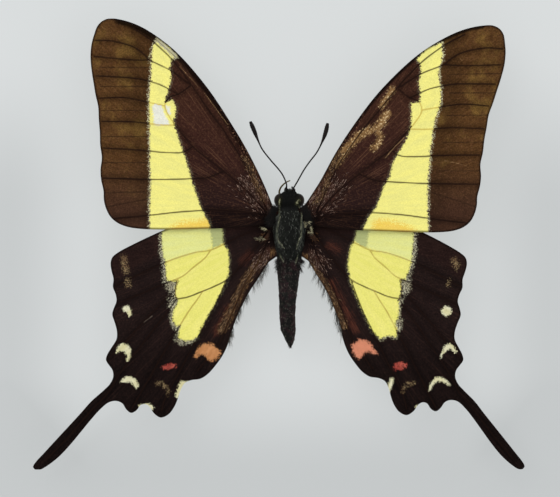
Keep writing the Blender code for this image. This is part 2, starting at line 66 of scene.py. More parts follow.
# A distance in millimetres at which no marking shows, and the lie's millimetres to a radian
FAR = 9.0
LIE_TURN = 17.0


class Side(Enum):
    """The insect's two sides, as signs along X."""

    LEFT = -1
    RIGHT = 1

    @property
    def word(self) -> str:
        """Return the side's name as the solids' names end."""
        return self.name.lower()


class Layer(Enum):
    """Which of the two sheets of wing on each side."""

    FORE = "forewing"
    HIND = "hindwing"


# Wing plans, as the solids have them
COSTA = ((2.45, 5.85), (4.1, 9.75), (6.35, 14.25), (9.05, 18.75), (12.05, 23.25), (15.8, 27.75),
         (18.2, 30.0), (21.35, 32.2), (23.45, 33.2), (25.4, 33.75))
APEX = ((26.9, 33.9), (28.0, 33.5), (28.75, 32.7), (29.2, 31.5))
FORE_MARGIN = ((29.6, 30.0), (29.75, 28.2), (29.6, 26.25), (29.3, 24.3), (29.0, 22.5),
               (28.6, 20.7), (28.5, 18.75), (28.35, 16.8), (28.3, 15.0), (28.05, 13.05),
               (28.25, 11.25), (28.15, 9.75), (27.8, 8.1), (27.75, 6.75))
FORE_CORNER = ((27.4, 5.4), (26.75, 4.2), (25.7, 3.3), (24.2, 2.7))
FORE_REAR = ((22.1, 2.4), (18.65, 2.3), (13.4, 2.4), (8.15, 2.6), (3.6, 3.1))

FORE_VEINS = {
    "radius": ((3.3, 5.2), (6.5, 11.85), (9.5, 16.65), (12.65, 21.0), (15.2, 24.75),
               (17.6, 27.8), (19.4, 29.55), (20.9, 30.8), (23.2, 32.3)),
    "cell": ((3.4, 4.9), (6.35, 8.1), (9.2, 10.5), (12.2, 12.9), (14.45, 14.75), (16.4, 17.1),
             (17.75, 18.9), (18.6, 20.7), (18.05, 22.0), (16.5, 22.6), (14.8, 23.8)),
    "radial_fork": ((14.9, 24.0), (17.75, 26.1), (20.9, 27.7), (21.95, 28.7), (23.3, 29.6),
                    (26.45, 30.5), (29.0, 30.6)),
    "radial_branch": ((20.9, 27.7), (22.25, 27.65), (24.35, 27.75), (29.2, 28.2)),
    "media_1": ((16.6, 22.5), (17.9, 23.25), (19.4, 24.0), (21.05, 24.5), (23.0, 24.9),
                (28.9, 25.3)),
    "media_2": ((18.6, 20.8), (20.9, 21.3), (24.5, 22.0), (28.5, 21.95)),
    "media_3": ((17.3, 17.9), (19.4, 17.95), (23.3, 18.4), (28.1, 18.5)),
    "cubitus_1": ((14.5, 14.7), (15.8, 13.9), (17.9, 13.8), (22.7, 14.2), (27.8, 14.5)),
    "cubitus_2": ((9.9, 11.0), (12.2, 10.1), (14.9, 9.9), (20.15, 9.8), (27.8, 10.0)),
    "anal": ((3.5, 4.5), (9.65, 5.2), (15.65, 5.0), (21.2, 4.4), (26.2, 3.95)),
}

HIND_FRONT = ((2.9, 4.2), (7.4, 4.8), (12.65, 4.1), (16.4, 3.2), (18.65, 2.3), (20.9, 1.3),
              (23.6, 0.0), (25.55, -1.05), (26.5, -1.8))
HIND_MARGIN = ((26.8, -2.7), (26.65, -3.9), (26.35, -5.1), (26.45, -6.3), (26.05, -7.35),
               (25.9, -8.4), (26.3, -9.45), (26.55, -10.4), (26.2, -11.55), (25.85, -12.9),
               (25.9, -14.1), (26.6, -15.3), (27.25, -16.35), (27.5, -17.25), (27.05, -18.0),
               (26.5, -18.8), (26.4, -19.8), (26.9, -20.85), (27.95, -21.9))
TAIL_OUTER = ((29.75, -23.5), (31.4, -25.35), (33.2, -27.3), (35.15, -29.4), (36.95, -31.35),
              (38.2, -32.7))
TAIL_TIP = ((38.65, -33.45), (38.3, -33.9), (37.6, -33.9))
TAIL_INNER = ((36.5, -33.3), (34.7, -31.9), (32.9, -30.0), (31.4, -28.2), (29.75, -26.2),
              (28.4, -24.7), (27.05, -23.6))
HIND_LOBES = ((25.9, -23.4), (25.0, -23.8), (24.5, -24.6), (23.75, -25.2), (22.9, -24.8),
              (22.3, -24.0), (21.55, -23.85), (20.9, -24.3), (20.35, -25.2), (19.3, -25.9),
              (18.1, -25.4), (17.2, -24.2), (16.7, -23.0), (16.3, -21.75), (15.65, -20.7),
              (14.6, -20.25))
HIND_INNER = ((13.4, -20.1), (12.2, -19.35), (11.0, -18.0), (9.95, -16.5), (9.05, -14.5),
              (8.3, -12.0), (7.3, -9.6), (5.9, -6.9), (4.4, -4.65), (3.05, -2.55))

HIND_VEINS = {
    "costa": ((3.3, 4.0), (8.9, 3.15), (12.2, 2.8), (15.65, 1.8), (18.65, 0.75),
              (21.65, -0.45), (25.9, -2.1)),
    "radius": ((3.2, 3.1), (8.0, 1.05), (11.75, -0.75), (14.0, -1.1), (16.4, -1.8),
               (18.3, -2.5), (21.6, -3.95), (25.9, -6.05)),
    "media_1": ((11.75, -0.75), (12.6, -1.9), (14.3, -3.3), (15.95, -4.65), (17.7, -5.43),
                (19.1, -5.95), (21.95, -7.2), (23.95, -8.0), (25.7, -8.85)),
    "cell_end": ((16.7, -5.0), (17.0, -6.3), (17.1, -7.4), (16.85, -8.1)),
    "media_2": ((17.05, -6.7), (19.5, -9.1), (22.3, -12.0), (24.9, -14.9), (27.0, -16.9)),
    "media_3": ((16.85, -8.1), (18.9, -10.8), (21.3, -13.9), (23.7, -17.0), (25.6, -19.6),
                (27.2, -22.2), (29.9, -25.05), (32.9, -28.5), (36.65, -32.4)),
    "cubitus": ((3.3, 1.95), (5.6, -1.05), (7.7, -3.6), (9.5, -5.3), (11.45, -6.3),
                (13.4, -7.1), (15.2, -7.8), (16.85, -8.1)),
    "cubitus_1": ((12.95, -6.9), (13.85, -8.25), (15.05, -9.9), (16.7, -12.6), (18.6, -15.8),
                  (20.6, -19.3), (22.4, -22.4), (23.6, -24.5)),
    "cubitus_2": ((9.49, -5.4), (10.76, -8.33), (11.74, -10.35), (12.79, -12.23), (14.1, -14.6),
                  (15.6, -17.4), (17.2, -20.3), (18.6, -23.0), (19.2, -24.9)),
    "anal": ((3.1, 0.75), (4.7, -2.55), (6.5, -5.55), (8.0, -8.85), (9.35, -12.0),
             (10.55, -14.85), (12.2, -16.95), (13.8, -18.9)),
}

# Veins that show as pale, those of them that are dark on the forewing, and one with no colour
PALE_VEINS = ("cell", "media_2", "media_3", "radius", "media_1", "cubitus_1", "cell_end")
FORE_DARK_VEINS = ("radius", "media_1", "cubitus_1")
PLAIN_VEIN = "costa"

# The right forewing's front edge next to its root, as this side itself has it
RIGHT_COSTA_ROOT = ((2.3, 6.0), (2.72, 6.6), (3.64, 8.0), (4.62, 9.55))

# The right wings' spread: millimetres for 1, u, v, uu, uv, vv of the left plan in 30 mm units
SPREAD_UNIT = 30.0
RIGHT_FORE = ((1.16, 29.49, -2.82, -0.33, 1.76, 3.54), (-0.38, 0.57, 29.86, -0.84, -1.27, 0.74))
RIGHT_HIND = ((-0.08, 31.89, 3.04, -1.88, -0.03, 0.77), (0.12, -0.28, 29.61, 0.03, 0.56, 0.52))

# How the blades lie, as in the solids
BLADE_RISE = 0.030
BLADE_ARCH = 0.55
ARCH_REACH = 30.0
TAIL_DROOP = 0.0075
DROOP_START = -20.0
FORE_HEIGHT = 7.55
HIND_HEIGHT = 6.51

# Body stations along Y: middle's sway to +X, half width, top and bottom height
BODY_STATIONS = (
    (8.40, 0.10, 0.05, 6.35, 6.25),
    (8.25, 0.10, 0.55, 6.85, 5.75),
    (7.80, 0.08, 1.10, 7.35, 5.30),
    (7.20, 0.05, 1.50, 7.65, 5.00),
    (6.50, 0.02, 1.65, 7.70, 4.95),
    (5.75, 0.00, 1.70, 7.45, 5.15),
    (5.40, 0.00, 2.00, 7.65, 4.85),
    (4.60, 0.00, 2.32, 8.20, 4.30),
    (3.60, 0.00, 2.48, 8.60, 3.85),
    (2.40, 0.00, 2.52, 8.85, 3.60),
    (1.00, 0.00, 2.40, 8.80, 3.60),
    (-0.20, 0.00, 2.25, 8.50, 3.80),
    (-1.20, 0.00, 2.00, 8.05, 4.15),
    (-2.00, 0.00, 1.85, 7.65, 4.45),
    (-3.75, -0.10, 1.75, 7.60, 4.40),
    (-6.00, -0.15, 1.52, 7.45, 4.40),
    (-8.25, -0.24, 1.30, 7.20, 4.50),
    (-10.50, -0.30, 1.22, 6.95, 4.60),
    (-12.70, -0.16, 1.16, 6.65, 4.65),
    (-13.60, 0.00, 0.92, 6.40, 4.80),
    (-14.40, 0.10, 0.66, 6.15, 4.95),
    (-15.10, 0.15, 0.33, 5.90, 5.25),
    (-15.45, 0.16, 0.06, 5.65, 5.50),
)
BODY_SQUARENESS = 2.2

# How far the head's and thorax's skin lies under the solids
SKIN_DEPTH = 0.10

# An eye's centre, out from the midline, forward and up, and its half sizes
EYE_PLACE = (1.36, 6.72, 6.35)
EYE_HALF_SIZES = (0.92, 1.02, 1.08)


@dataclass(frozen=True)
class Markings:
    """Where one side's coloured scales lie, and where painted light shows through a forewing: loops and
    lines as (out, forward).
    """

    fore_band: tuple
    # under: painted light, where the hindwing's yellow shows through the forewing that lies over it
    under: tuple
    hind_band: tuple
    pale_top: tuple
    patch: tuple
    dots: tuple
    tornal: tuple
    red: tuple
    lunules: tuple
    faint: tuple
    folds: tuple
    hair: tuple
    stripe: tuple
    worn: tuple
    rust: tuple
    scrapes: tuple
    tufts: tuple
    gilt: tuple
    strands: tuple
    eye_fur: tuple
    white: tuple = ()
    smear: tuple = ()


LEFT_MARKINGS = Markings(
    fore_band=(
        (20.81, 1.35), (20.81, 4.65), (20.81, 7.05), (20.66, 9.45), (20.81, 12), (20.81, 15),
        (20.89, 18), (20.96, 20.55), (20.89, 22.5), (20.66, 24.45), (20.59, 26.25), (20.59, 28.05),
        (20.36, 29.7), (19.76, 30.75), (17.89, 29.55), (16.84, 28.05), (17.74, 27.82), (17.66, 27.15),
        (17.96, 26.4), (17.74, 25.8), (17.74, 24.75), (18.04, 23.7), (18.26, 22.5), (18.71, 21.22),
        (18.19, 21.38), (17.59, 21.75), (16.99, 20.7), (17.06, 19.5), (17.36, 18.6), (17.06, 17.4),
        (16.54, 15.75), (15.86, 13.8), (15.19, 11.85), (14.66, 9.75), (13.99, 7.8), (13.46, 6.15),
        (12.94, 4.95), (12.11, 3.45), (11.59, 1.35)),
    under=(
        (18.49, 0.75), (18.19, 2.4), (16.39, 3.45), (14.14, 3.75), (12.19, 4.05), (10.99, 2.85),
        (10.99, 0.75)),
    hind_band=(
        (18.94, 3.45), (19.09, 1.95), (19.01, 0), (18.86, -1.35), (18.56, -2.55), (18.41, -4.05),
        (18.34, -5.25), (17.59, -5.4), (16.69, -5.4), (17.06, -6.45), (17.06, -7.8), (16.54, -8.17),
        (16.99, -9.15), (17.44, -10.2), (17.51, -11.25), (16.99, -12.07), (16.24, -12.07),
        (16.54, -13.05), (16.61, -13.95), (15.79, -14.25), (14.74, -14.25), (13.84, -13.88),
        (13.15, -12.35), (12.05, -10.4), (10.98, -8.45), (10.08, -6.8), (9.55, -5.4), (9.11, -4.35),
        (9.04, -2.25), (9.26, -0.75), (9.79, 0), (10.01, 0.75), (10.01, 1.8), (10.24, 3.45)),
    pale_top=(
        (19.39, 4.5), (19.39, -2.55), (17.14, -2.1), (14.14, -1.12), (12.34, -0.75), (11.59, -0.3),
        (11.14, 4.5)),
    patch=(
        (12.34, 2.85), (11.74, 1.8), (11.59, 0.3), (11.59, -0.6), (10.54, -0.15), (9.86, 0.3),
        (9.94, 2.85)),
    dots=(
        ((19.54, 1.95), (18.64, 1.95), (18.56, -0.75), (18.34, -2.55), (18.19, -5.55), (18.94, -5.85),
         (19.24, -2.55), (19.54, -0.75)),
        ((18.79, -5.1), (16.39, -5.25), (16.84, -6.6), (16.99, -7.8), (17.59, -7.65), (18.64, -6.45)),
        ((18.19, -7.95), (16.39, -8.25), (17.14, -9.6), (17.29, -10.2), (17.89, -10.05), (18.19, -9)),
        ((17.89, -9.9), (16.99, -10.05), (16.84, -11.85), (16.09, -12), (16.99, -12.9),
         (17.59, -12.45), (18.04, -11.25)),
        ((17.14, -13.35), (16.09, -13.8), (14.59, -14.1), (14.74, -14.85), (16.39, -15.15),
         (17.29, -14.4)),
    ),
    tornal=(
        (14.21, -16.8), (13.84, -15.75), (13.39, -15.15), (12.64, -14.77), (11.59, -14.85),
        (10.84, -15.38), (10.24, -16.05), (10.61, -16.8), (11.44, -17.47), (12.34, -17.18),
        (12.64, -16.5), (13.39, -16.43), (13.84, -16.95)),
    red=(
        (19.3, -18.4), (18.7, -18.0), (17.89, -17.75), (17.1, -17.9), (16.8, -18.2),
        (17.29, -18.5), (18.04, -18.6), (18.94, -18.7)),
    lunules=(
        ((26.06, -16.12), (25.84, -15.45), (25.31, -14.85), (24.94, -14.7), (24.19, -15),
         (23.66, -15.75), (23.81, -16.8), (24.19, -17.4), (24.41, -17.4), (24.41, -16.65),
        (24.71, -16.12), (25.39, -15.9), (25.76, -16.2)),
        ((25.39, -20.55), (25.09, -20.1), (24.49, -19.72), (23.89, -19.65), (23.29, -19.95),
         (22.69, -20.55), (22.54, -21.3), (22.99, -21.6), (23.29, -21.07), (23.89, -20.55),
        (24.79, -20.62)),
        ((17.14, -22.65), (16.69, -21.3), (16.24, -20.32), (15.19, -20.4), (15.94, -21.6),
         (16.54, -22.8), (16.84, -23.18)),
        ((25.09, -9.6), (24.64, -9.07), (24.04, -9.15), (23.66, -9.75), (23.66, -10.65),
         (24.04, -10.8), (24.34, -10.2), (24.94, -9.9)),
        ((22.6, -24.1), (22.1, -23.8), (21.3, -23.72), (20.6, -23.95), (20.2, -24.5), (20.6, -24.9),
         (22.2, -24.9)),
    ),
    faint=(
        ((20.14, -20.85), (19.54, -20.4), (18.94, -20.55), (18.34, -21.15), (17.96, -21.9),
         (18.19, -22.65), (18.49, -21.9), (19.09, -21.15), (19.84, -21.15)),
        ((24.7, -5.0), (23.8, -5.1), (23.75, -6.4), (24.5, -6.25)),
        ((25.3, -1.5), (24.3, -1.6), (24.0, -4.2), (24.8, -4.3), (25.3, -2.9)),
    ),
    folds=(
        ((28.39, 26.55), (20.89, 26.55)),
        ((28.24, 23.7), (21.04, 23.7)),
        ((28.09, 20.1), (21.19, 20.1)),
        ((27.94, 16.2), (21.04, 16.2)),
        ((27.79, 12.3), (20.89, 12.3)),
        ((27.94, 7.8), (21.04, 7.95)),
        ((27.19, 5.7), (21.04, 6.9)),
        ((20.6, 31.2), (19.85, 30.68), (18.4, 29.4), (16.95, 28.02), (15.6, 26.6)),
    ),
    hair=(
        (2.6, -1.0), (3.9, -1.9), (5.14, -3.4), (6.2, -4.8), (7.4, -7.2), (8.6, -9.8),
        (10.0, -12.6)),
    rust=(
        ((9.0, -9.5), (10.4, -11.8), (11.1, -13.1)), ((6.0, -1.5), (6.9, -2.4))),
    scrapes=(
        ((16.4, 26.7), (12.6, 22.6), (9.2, 18.0)), ((20.5, -10.6), (21.8, -11.6))),
    tufts=(
        ((3.4, 2.35), (4.05, 2.6)), ((3.65, 0.8), (4.8, 1.0))),
    gilt=((3.6, 6.3), (4.2, 7.5), (4.9, 9.0), (5.6, 10.9), (6.6, 13.0)),
    strands=(((1.6, -1.2), (0.95, -2.3)),),
    eye_fur=(((1.38, 7.0), (1.40, 6.66), (1.42, 6.05)),),
    smear=(
        ((19.9, 31.1), (18.4, 30.0), (17.0, 28.7), (16.6, 28.0), (17.2, 27.8), (18.6, 29.15),
         (20.0, 30.4)),
    ),
    white=(
        ((20.5, 20.8), (20.15, 21.1), (19.1, 20.9), (18.6, 19.5), (17.75, 17.95), (20.15, 17.85),
         (20.4, 19.4)),
        ((18.5, 20.95), (17.85, 20.6), (17.65, 19.8), (17.85, 19.35), (18.3, 19.9))),
    stripe=((1.42, 6.1), (1.5, 5.25), (1.43, 4.23), (1.6, 3.24), (1.8, 2.3), (1.8, 1.35),
            (1.55, 0.6), (1.1, -0.1)),
    worn=(),
)
RIGHT_MARKINGS = Markings(
    fore_band=(
        (20.81, 1.35), (20.66, 4.5), (20.66, 6.75), (20.66, 8.25), (20.66, 9.75), (20.89, 11.25),
        (20.96, 12.75), (21.04, 14.25), (21.26, 15.3), (21.41, 16.8), (21.71, 18.45), (22.16, 19.8),
        (22.46, 20.85), (22.61, 21.75), (22.61, 23.25), (22.39, 24.75), (22.31, 25.95), (22.54, 26.85),
        (22.76, 27.45), (22.91, 28.5), (22.76, 30.15), (20.36, 29.25), (19.16, 27.75), (19.69, 27),
        (19.69, 25.35), (19.31, 24.3), (19.61, 22.95), (19.61, 21.45), (18.26, 21.15), (18.26, 19.05),
        (18.26, 17.85), (17.81, 16.5), (17.06, 14.85), (16.16, 13.5), (15.41, 12), (15.11, 10.2),
        (14.21, 8.85), (13.61, 7.2), (13.01, 5.55), (12.26, 4.65), (11.51, 3.45), (10.61, 1.35)),
    under=(
        (12.41, 0.75), (12.41, 3.4), (13.4, 4.0), (15.86, 3.6), (18.11, 2.85), (19.3, 1.95),
        (19.3, 0.75)),
    hind_band=(
        (18.71, 3.45), (18.56, 1.95), (18.56, 0.75), (18.41, -0.75), (18.26, -2.55), (17.81, -4.05),
        (17.36, -5.1), (16.61, -5.25), (16.76, -7.05), (16.31, -8.1), (16.46, -9.75), (16.31, -10.95),
        (15.86, -11.7), (16.16, -12.9), (16.01, -13.8), (14.81, -13.57), (13.61, -14.03),
        (13.01, -13.5), (12.26, -12.6), (11.51, -10.95), (10.61, -9), (9.86, -7.2), (9.19, -5.4),
        (8.96, -4.05), (8.81, -3), (8.96, -1.65), (9.26, -0.3), (9.86, 0.75), (10.16, 2.25),
        (10.31, 3.45)),
    pale_top=(
        (19.61, 4.5), (19.31, -2.55), (18.11, -2.4), (16.16, -1.72), (14.36, -1.12), (12.41, -0.67),
        (11.51, -0.3), (10.91, 4.5)),
    patch=(
        (12.41, 2.85), (11.81, 1.65), (11.66, -0.45), (10.76, -0.15), (9.86, 0.6), (10.01, 2.85)),
    dots=(
        ((18.26, 2.25), (19.24, 2.25), (19.16, -0.75), (18.86, -2.55), (18.41, -4.35), (17.81, -5.4),
         (17.96, -2.55), (18.26, -0.75)),
        ((16.46, -5.1), (18.26, -5.1), (18.26, -6.75), (17.36, -7.8), (16.46, -7.35)),
        ((16.16, -7.95), (17.21, -7.95), (16.91, -9.15), (16.01, -9.15)),
        ((15.86, -10.65), (17.06, -11.1), (16.76, -12.9), (15.86, -13.05)),
    ),
    tornal=(
        (9.41, -15), (10.31, -14.25), (11.51, -14.25), (12.26, -14.85), (12.71, -15.75),
        (13.16, -16.35), (12.56, -16.35), (11.96, -15.9), (11.36, -16.2), (10.76, -16.95),
        (10.01, -16.95), (9.56, -16.05)),
    red=(
        (15.41, -18.45), (15.86, -17.7), (16.76, -17.4), (17.51, -17.7), (17.66, -18.3),
        (16.91, -18.75), (16.01, -18.82)),
    lunules=(
        ((22.61, -17.1), (22.84, -15.9), (23.29, -15.07), (23.96, -14.7), (24.71, -15.15),
         (25.16, -16.05), (24.86, -16.35), (24.26, -15.67), (23.66, -15.82), (23.14, -16.35)),
        ((20.81, -21.9), (21.11, -20.77), (21.71, -19.95), (22.46, -19.72), (23.36, -20.1),
         (24.11, -20.85), (23.96, -21.15), (23.06, -20.62), (22.16, -20.47), (21.56, -21),
        (21.26, -21.75)),
        ((14.21, -22.8), (14.66, -21.15), (15.26, -19.8), (15.71, -20.1), (15.41, -21.3),
         (14.81, -22.65)),
        ((22.76, -9.9), (23.21, -9.22), (23.81, -9.15), (24.41, -9.6), (24.26, -10.35), (23.51, -10.8),
         (23.06, -10.5)),
        ((18.9, -24.2), (19.4, -23.85), (19.9, -23.78), (20.5, -23.98), (20.9, -24.4), (20.4, -24.9),
         (19.2, -24.9)),
    ),
    faint=(
        ((16.76, -22.2), (17.06, -21.15), (17.81, -20.4), (18.56, -20.4), (19.16, -20.85),
         (18.41, -20.93), (17.51, -21.3), (17.06, -22.2)),
        ((23.51, -5.25), (24.11, -5.17), (24.11, -6.15), (23.66, -6.3)),
        ((24.11, -1.95), (25.01, -1.8), (25.61, -2.85), (25.16, -3.9), (24.41, -3.15)),
    ),
    folds=(
        ((24.11, 25.5), (31.61, 25.65)),
        ((23.96, 22.72), (31.16, 22.8)),
        ((23.51, 19.35), (30.11, 19.43)),
        ((22.91, 15.3), (29.51, 15.38)),
        ((22.01, 11.1), (28.91, 11.1)),
        ((21.11, 7.95), (27.86, 5.7)),
    ),
    hair=(
        (2.5, -1.9), (3.6, -3.6), (4.8, -5.3), (6.1, -7.6), (7.3, -10.2), (8.0, -12.0)),
    rust=(
        ((6.4, -5.6), (7.4, -7.7), (8.3, -9.5), (9.2, -11.4), (9.9, -12.75)),
        ((6.2, -0.1), (7.3, -0.7))),
    scrapes=(
        ((14.36, 13.05), (15.8, 14.7), (17.2, 16.05)), ((6.1, 11.25), (7.6, 14.25)),
        ((25.6, 27.8), (26.8, 27.1)), ((23.2, 12.6), (24.8, 12.3), (26.5, 11.85))),
    tufts=(
        ((2.3, 2.6), (2.3, 3.4)), ((2.8, 3.05), (2.9, 3.55)), ((2.7, 2.0), (3.4, 1.8)),
        ((3.15, 2.25), (3.2, 2.65))),
    gilt=((3.8, 5.8), (4.5, 6.7), (5.1, 8.1), (5.9, 10.4), (6.7, 12.3), (7.7, 13.6)),
    strands=(((1.35, -1.3), (1.05, -2.4)),),
    eye_fur=(((1.08, 6.45), (1.3, 6.85), (1.75, 6.97)), ((1.45, 6.05), (1.6, 5.7))),
    stripe=((1.49, 6.0), (1.7, 5.4), (1.86, 4.6), (1.8, 3.3), (1.76, 1.6), (1.5, 0.9),
            (1.2, -0.1)),
    worn=(((6.9, 12.2), (7.3, 12.8), (8.55, 14.3), (10.2, 16.1), (11.4, 16.9), (13.0, 17.5),
           (13.85, 18.3), (14.7, 19.6)),
          ((12.6, 14.5), (13.45, 15.3), (13.65, 16.3), (13.2, 17.0)), ((13.8, 20.8), (15.4, 23.2))),
)
MARKINGS = {Side.LEFT: LEFT_MARKINGS, Side.RIGHT: RIGHT_MARKINGS}


def dye(text: str) -> tuple:
    """Turn a colour as seen in the studio light into the surface's own linear colour.

    Args:
        text: six hexadecimal digits of a screen colour.

    Returns:
        Red, green, blue and alpha for a shader socket.
    """
    parts = [int(text[i:i + 2], 16) / 255.0 for i in (0, 2, 4)]
    linear = [p / 12.92 if p <= 0.04045 else ((p + 0.055) / 1.055) ** 2.4 for p in parts]
    return (*(value / LIGHT_GAIN for value in linear), 1.0)


def smooth_line(points, step: float) -> np.ndarray:
    """Return a centripetal Catmull-Rom line through points.

    Args:
        points: two or more points of equal size.
        step: the distance wanted from one point of the line to the next.

    Returns:
        An array with one row for each point of the line.
    """
    knots = np.array(points, float)
    knots = np.vstack((2.0 * knots[0] - knots[1], knots, 2.0 * knots[-1] - knots[-2]))
    line = []
    for p0, p1, p2, p3 in zip(knots, knots[1:], knots[2:], knots[3:]):
        t1 = max(1e-6, np.linalg.norm(p1 - p0) ** 0.5)
        t2 = t1 + max(1e-6, np.linalg.norm(p2 - p1) ** 0.5)
        t3 = t2 + max(1e-6, np.linalg.norm(p3 - p2) ** 0.5)
        count = max(1, round(np.linalg.norm(p2 - p1) / step))
        for s in t1 + (t2 - t1) * np.arange(count) / count:
            a1 = p0 + (p1 - p0) * s / t1
            a2 = p1 + (p2 - p1) * (s - t1) / (t2 - t1)
            a3 = p2 + (p3 - p2) * (s - t2) / (t3 - t2)
            b1 = a1 + (a2 - a1) * s / t2
            b2 = a2 + (a3 - a2) * (s - t1) / (t3 - t1)
            line.append(b1 + (b2 - b1) * (s - t1) / (t2 - t1))
    line.append(knots[-2])
    return np.array(line)


def nearest_on_line(points: np.ndarray, line: np.ndarray, closed: bool = False) -> tuple:
    """Find each point's nearest place on a broken line in plan.

    Args:
        points: rows of X and Y.
        line: rows of X and Y along the line.
        closed: whether the line's end joins its start.

    Returns:
        The distances, and the nearest places as rows of X and Y.
    """
    ends = np.vstack((line[1:], line[:1])) if closed else line[1:]
    starts = line if closed else line[:-1]
    best = np.full(len(points), np.inf)
    found = np.zeros((len(points), 2))
    for start, end in zip(starts, ends):
        run = end - start
        length = max(1e-12, run @ run)
        share = np.clip(((points - start) @ run) / length, 0.0, 1.0)
        place = start + share[:, None] * run
        away = np.hypot(*(points - place).T)
        nearer = away < best
        best[nearer] = away[nearer]
        found[nearer] = place[nearer]
    return best, found


def lies_inside(points: np.ndarray, loop: np.ndarray) -> np.ndarray:
    """Tell which points in plan lie inside a closed loop.

    Args:
        points: rows of X and Y.
        loop: rows of X and Y round the loop.

    Returns:
        An array of booleans.
    """
    within = np.zeros(len(points), bool)
    x, y = points.T
    for (ax, ay), (bx, by) in zip(loop, np.vstack((loop[1:], loop[:1]))):
        if ay == by:
            continue
        spans = (ay > y) != (by > y)
        within ^= spans & (x < ax + (y - ay) * (bx - ax) / (by - ay))
    return within


def depth_inside(points: np.ndarray, loop: np.ndarray) -> np.ndarray:
    """Return how far each point lies inside a closed loop, negative outside it."""
    away, _ = nearest_on_line(points, loop, closed=True)
    return np.where(lies_inside(points, loop), away, -away)


def deepest(points: np.ndarray, loops) -> np.ndarray:
    """Return how far each point lies inside the nearest of several loops."""
    found = np.full(len(points), -FAR)
    for loop in loops:
        found = np.maximum(found, depth_inside(points, loop))
    return found


def nearest_of(points: np.ndarray, lines) -> np.ndarray:
    """Return each point's distance to the nearest of several lines."""
    found = np.full(len(points), FAR)
    for line in lines:
        found = np.minimum(found, nearest_on_line(points, line)[0])
    return found


def unit(vectors: np.ndarray) -> np.ndarray:
    """Return vectors cut or drawn to a length of 1."""
    return vectors / np.maximum(1e-9, np.linalg.norm(vectors, axis=1))[:, None]


def laid_flat(vectors: np.ndarray, normals: np.ndarray) -> np.ndarray:
    """Return vectors of length 1 with what runs along the normals taken out."""
    return unit(vectors - normals * np.sum(vectors * normals, axis=1)[:, None])


def crown_unwrap(out: np.ndarray, forward: np.ndarray) -> np.ndarray:
    """Return places on an unwrap of the body's top, from above."""
    return np.column_stack((0.5 + out / 8.0, 0.1 + (8.0 - forward) / 24.0))


def new_object(name: str, mesh: bpy.types.Mesh, finish: bpy.types.Material) -> bpy.types.Object:
    """Link a mesh, built in millimetres, as a piece that rides on the body.

    Args:
        name: the piece's name.
        mesh: its mesh.
        finish: its material.

    Returns:
        The new object, at the origin.
    """
    mesh.transform(Matrix.Scale(MM, 4))
    mesh.materials.append(finish)
    piece = bpy.data.objects.new(name, mesh)
    bpy.context.scene.collection.objects.link(piece)
    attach(piece, BODY)
    LOG.info("%s: %d faces", name, len(mesh.polygons))
    return piece


def mesh_from(shape: bmesh.types.BMesh, name: str, sharp: float = 60.0) -> bpy.types.Mesh:
    """Turn a bmesh into a smooth shaded mesh whose faces point outwards.

    Args:
        shape: the bmesh, which is freed.
        name: the mesh's name.
        sharp: the angle in degrees past which an edge shows as sharp.

    Returns:
        The mesh.
    """
    bmesh.ops.recalc_face_normals(shape, faces=shape.faces)
    mesh = bpy.data.meshes.new(name)
    shape.to_mesh(mesh)
    shape.free()
    mesh.shade_smooth()
    mesh.set_sharp_from_angle(angle=math.radians(sharp))
    return mesh


def write_field(mesh: bpy.types.Mesh, name: str, values: np.ndarray) -> None:
    """Keep one number, or one vector, for each point of a mesh."""
    flat = np.ascontiguousarray(values, np.float32)
    if flat.ndim == 1:
        mesh.attributes.new(name, "FLOAT", "POINT").data.foreach_set("value", flat)
    else:
        mesh.attributes.new(name, "FLOAT_VECTOR", "POINT").data.foreach_set(
            "vector", flat.ravel())


def read_points(mesh: bpy.types.Mesh) -> np.ndarray:
    """Return a mesh's points as rows of X, Y and Z."""
    flat = np.zeros(len(mesh.vertices) * 3, np.float32)
    mesh.vertices.foreach_get("co", flat)
    return flat.reshape(-1, 3).astype(float)


def sweep(route: np.ndarray, radii, sides: int, flat: float = 1.0) -> bmesh.types.BMesh:
    """Push a round face along a route, so that it leaves a closed tapering stem.

    Args:
        route: rows of X, Y and Z.
        radii: the stem's radius at evenly spaced shares of its length.
        sides: how many sides the stem has.
        flat: the stem's thickness as a share of its width.

    Returns:
        The stem as a bmesh.
    """
    shape = bmesh.new()
    bmesh.ops.create_circle(shape, cap_ends=True, segments=sides, radius=1.0)
    shares = np.linspace(0.0, 1.0, len(route))
    sizes = np.interp(shares, np.linspace(0.0, 1.0, len(radii)), radii)
    across = Vector((0.0, 0.0, 1.0))
    frames = []
    for i, point in enumerate(route):
        along = Vector(route[min(i + 1, len(route) - 1)] - route[max(i - 1, 0)]).normalized()
        side = along.cross(across)
        side = along.orthogonal().normalized() if side.length < 1e-5 else side.normalized()
        across = side.cross(along).normalized()
        turn = Matrix((side * sizes[i], across * sizes[i] * flat, along)).transposed().to_4x4()
        frames.append(Matrix.Translation(Vector(point)) @ turn)
    shape.faces.ensure_lookup_table()
    cap = shape.faces[0]
    bmesh.ops.transform(shape, matrix=frames[0], verts=cap.verts)
    for before, after in zip(frames, frames[1:]):
        grown = bmesh.ops.extrude_face_region(shape, geom=[cap])["geom"]
        cap = next(item for item in grown if isinstance(item, bmesh.types.BMFace))
        bmesh.ops.transform(shape, matrix=after @ before.inverted(), verts=cap.verts)
    return shape


def joined(shapes) -> bmesh.types.BMesh:
    """Return several bmeshes as one."""
    whole = bmesh.new()
    for shape in shapes:
        part = bpy.data.meshes.new("part")
        shape.to_mesh(part)
        shape.free()
        whole.from_mesh(part)
        bpy.data.meshes.remove(part)
    return whole


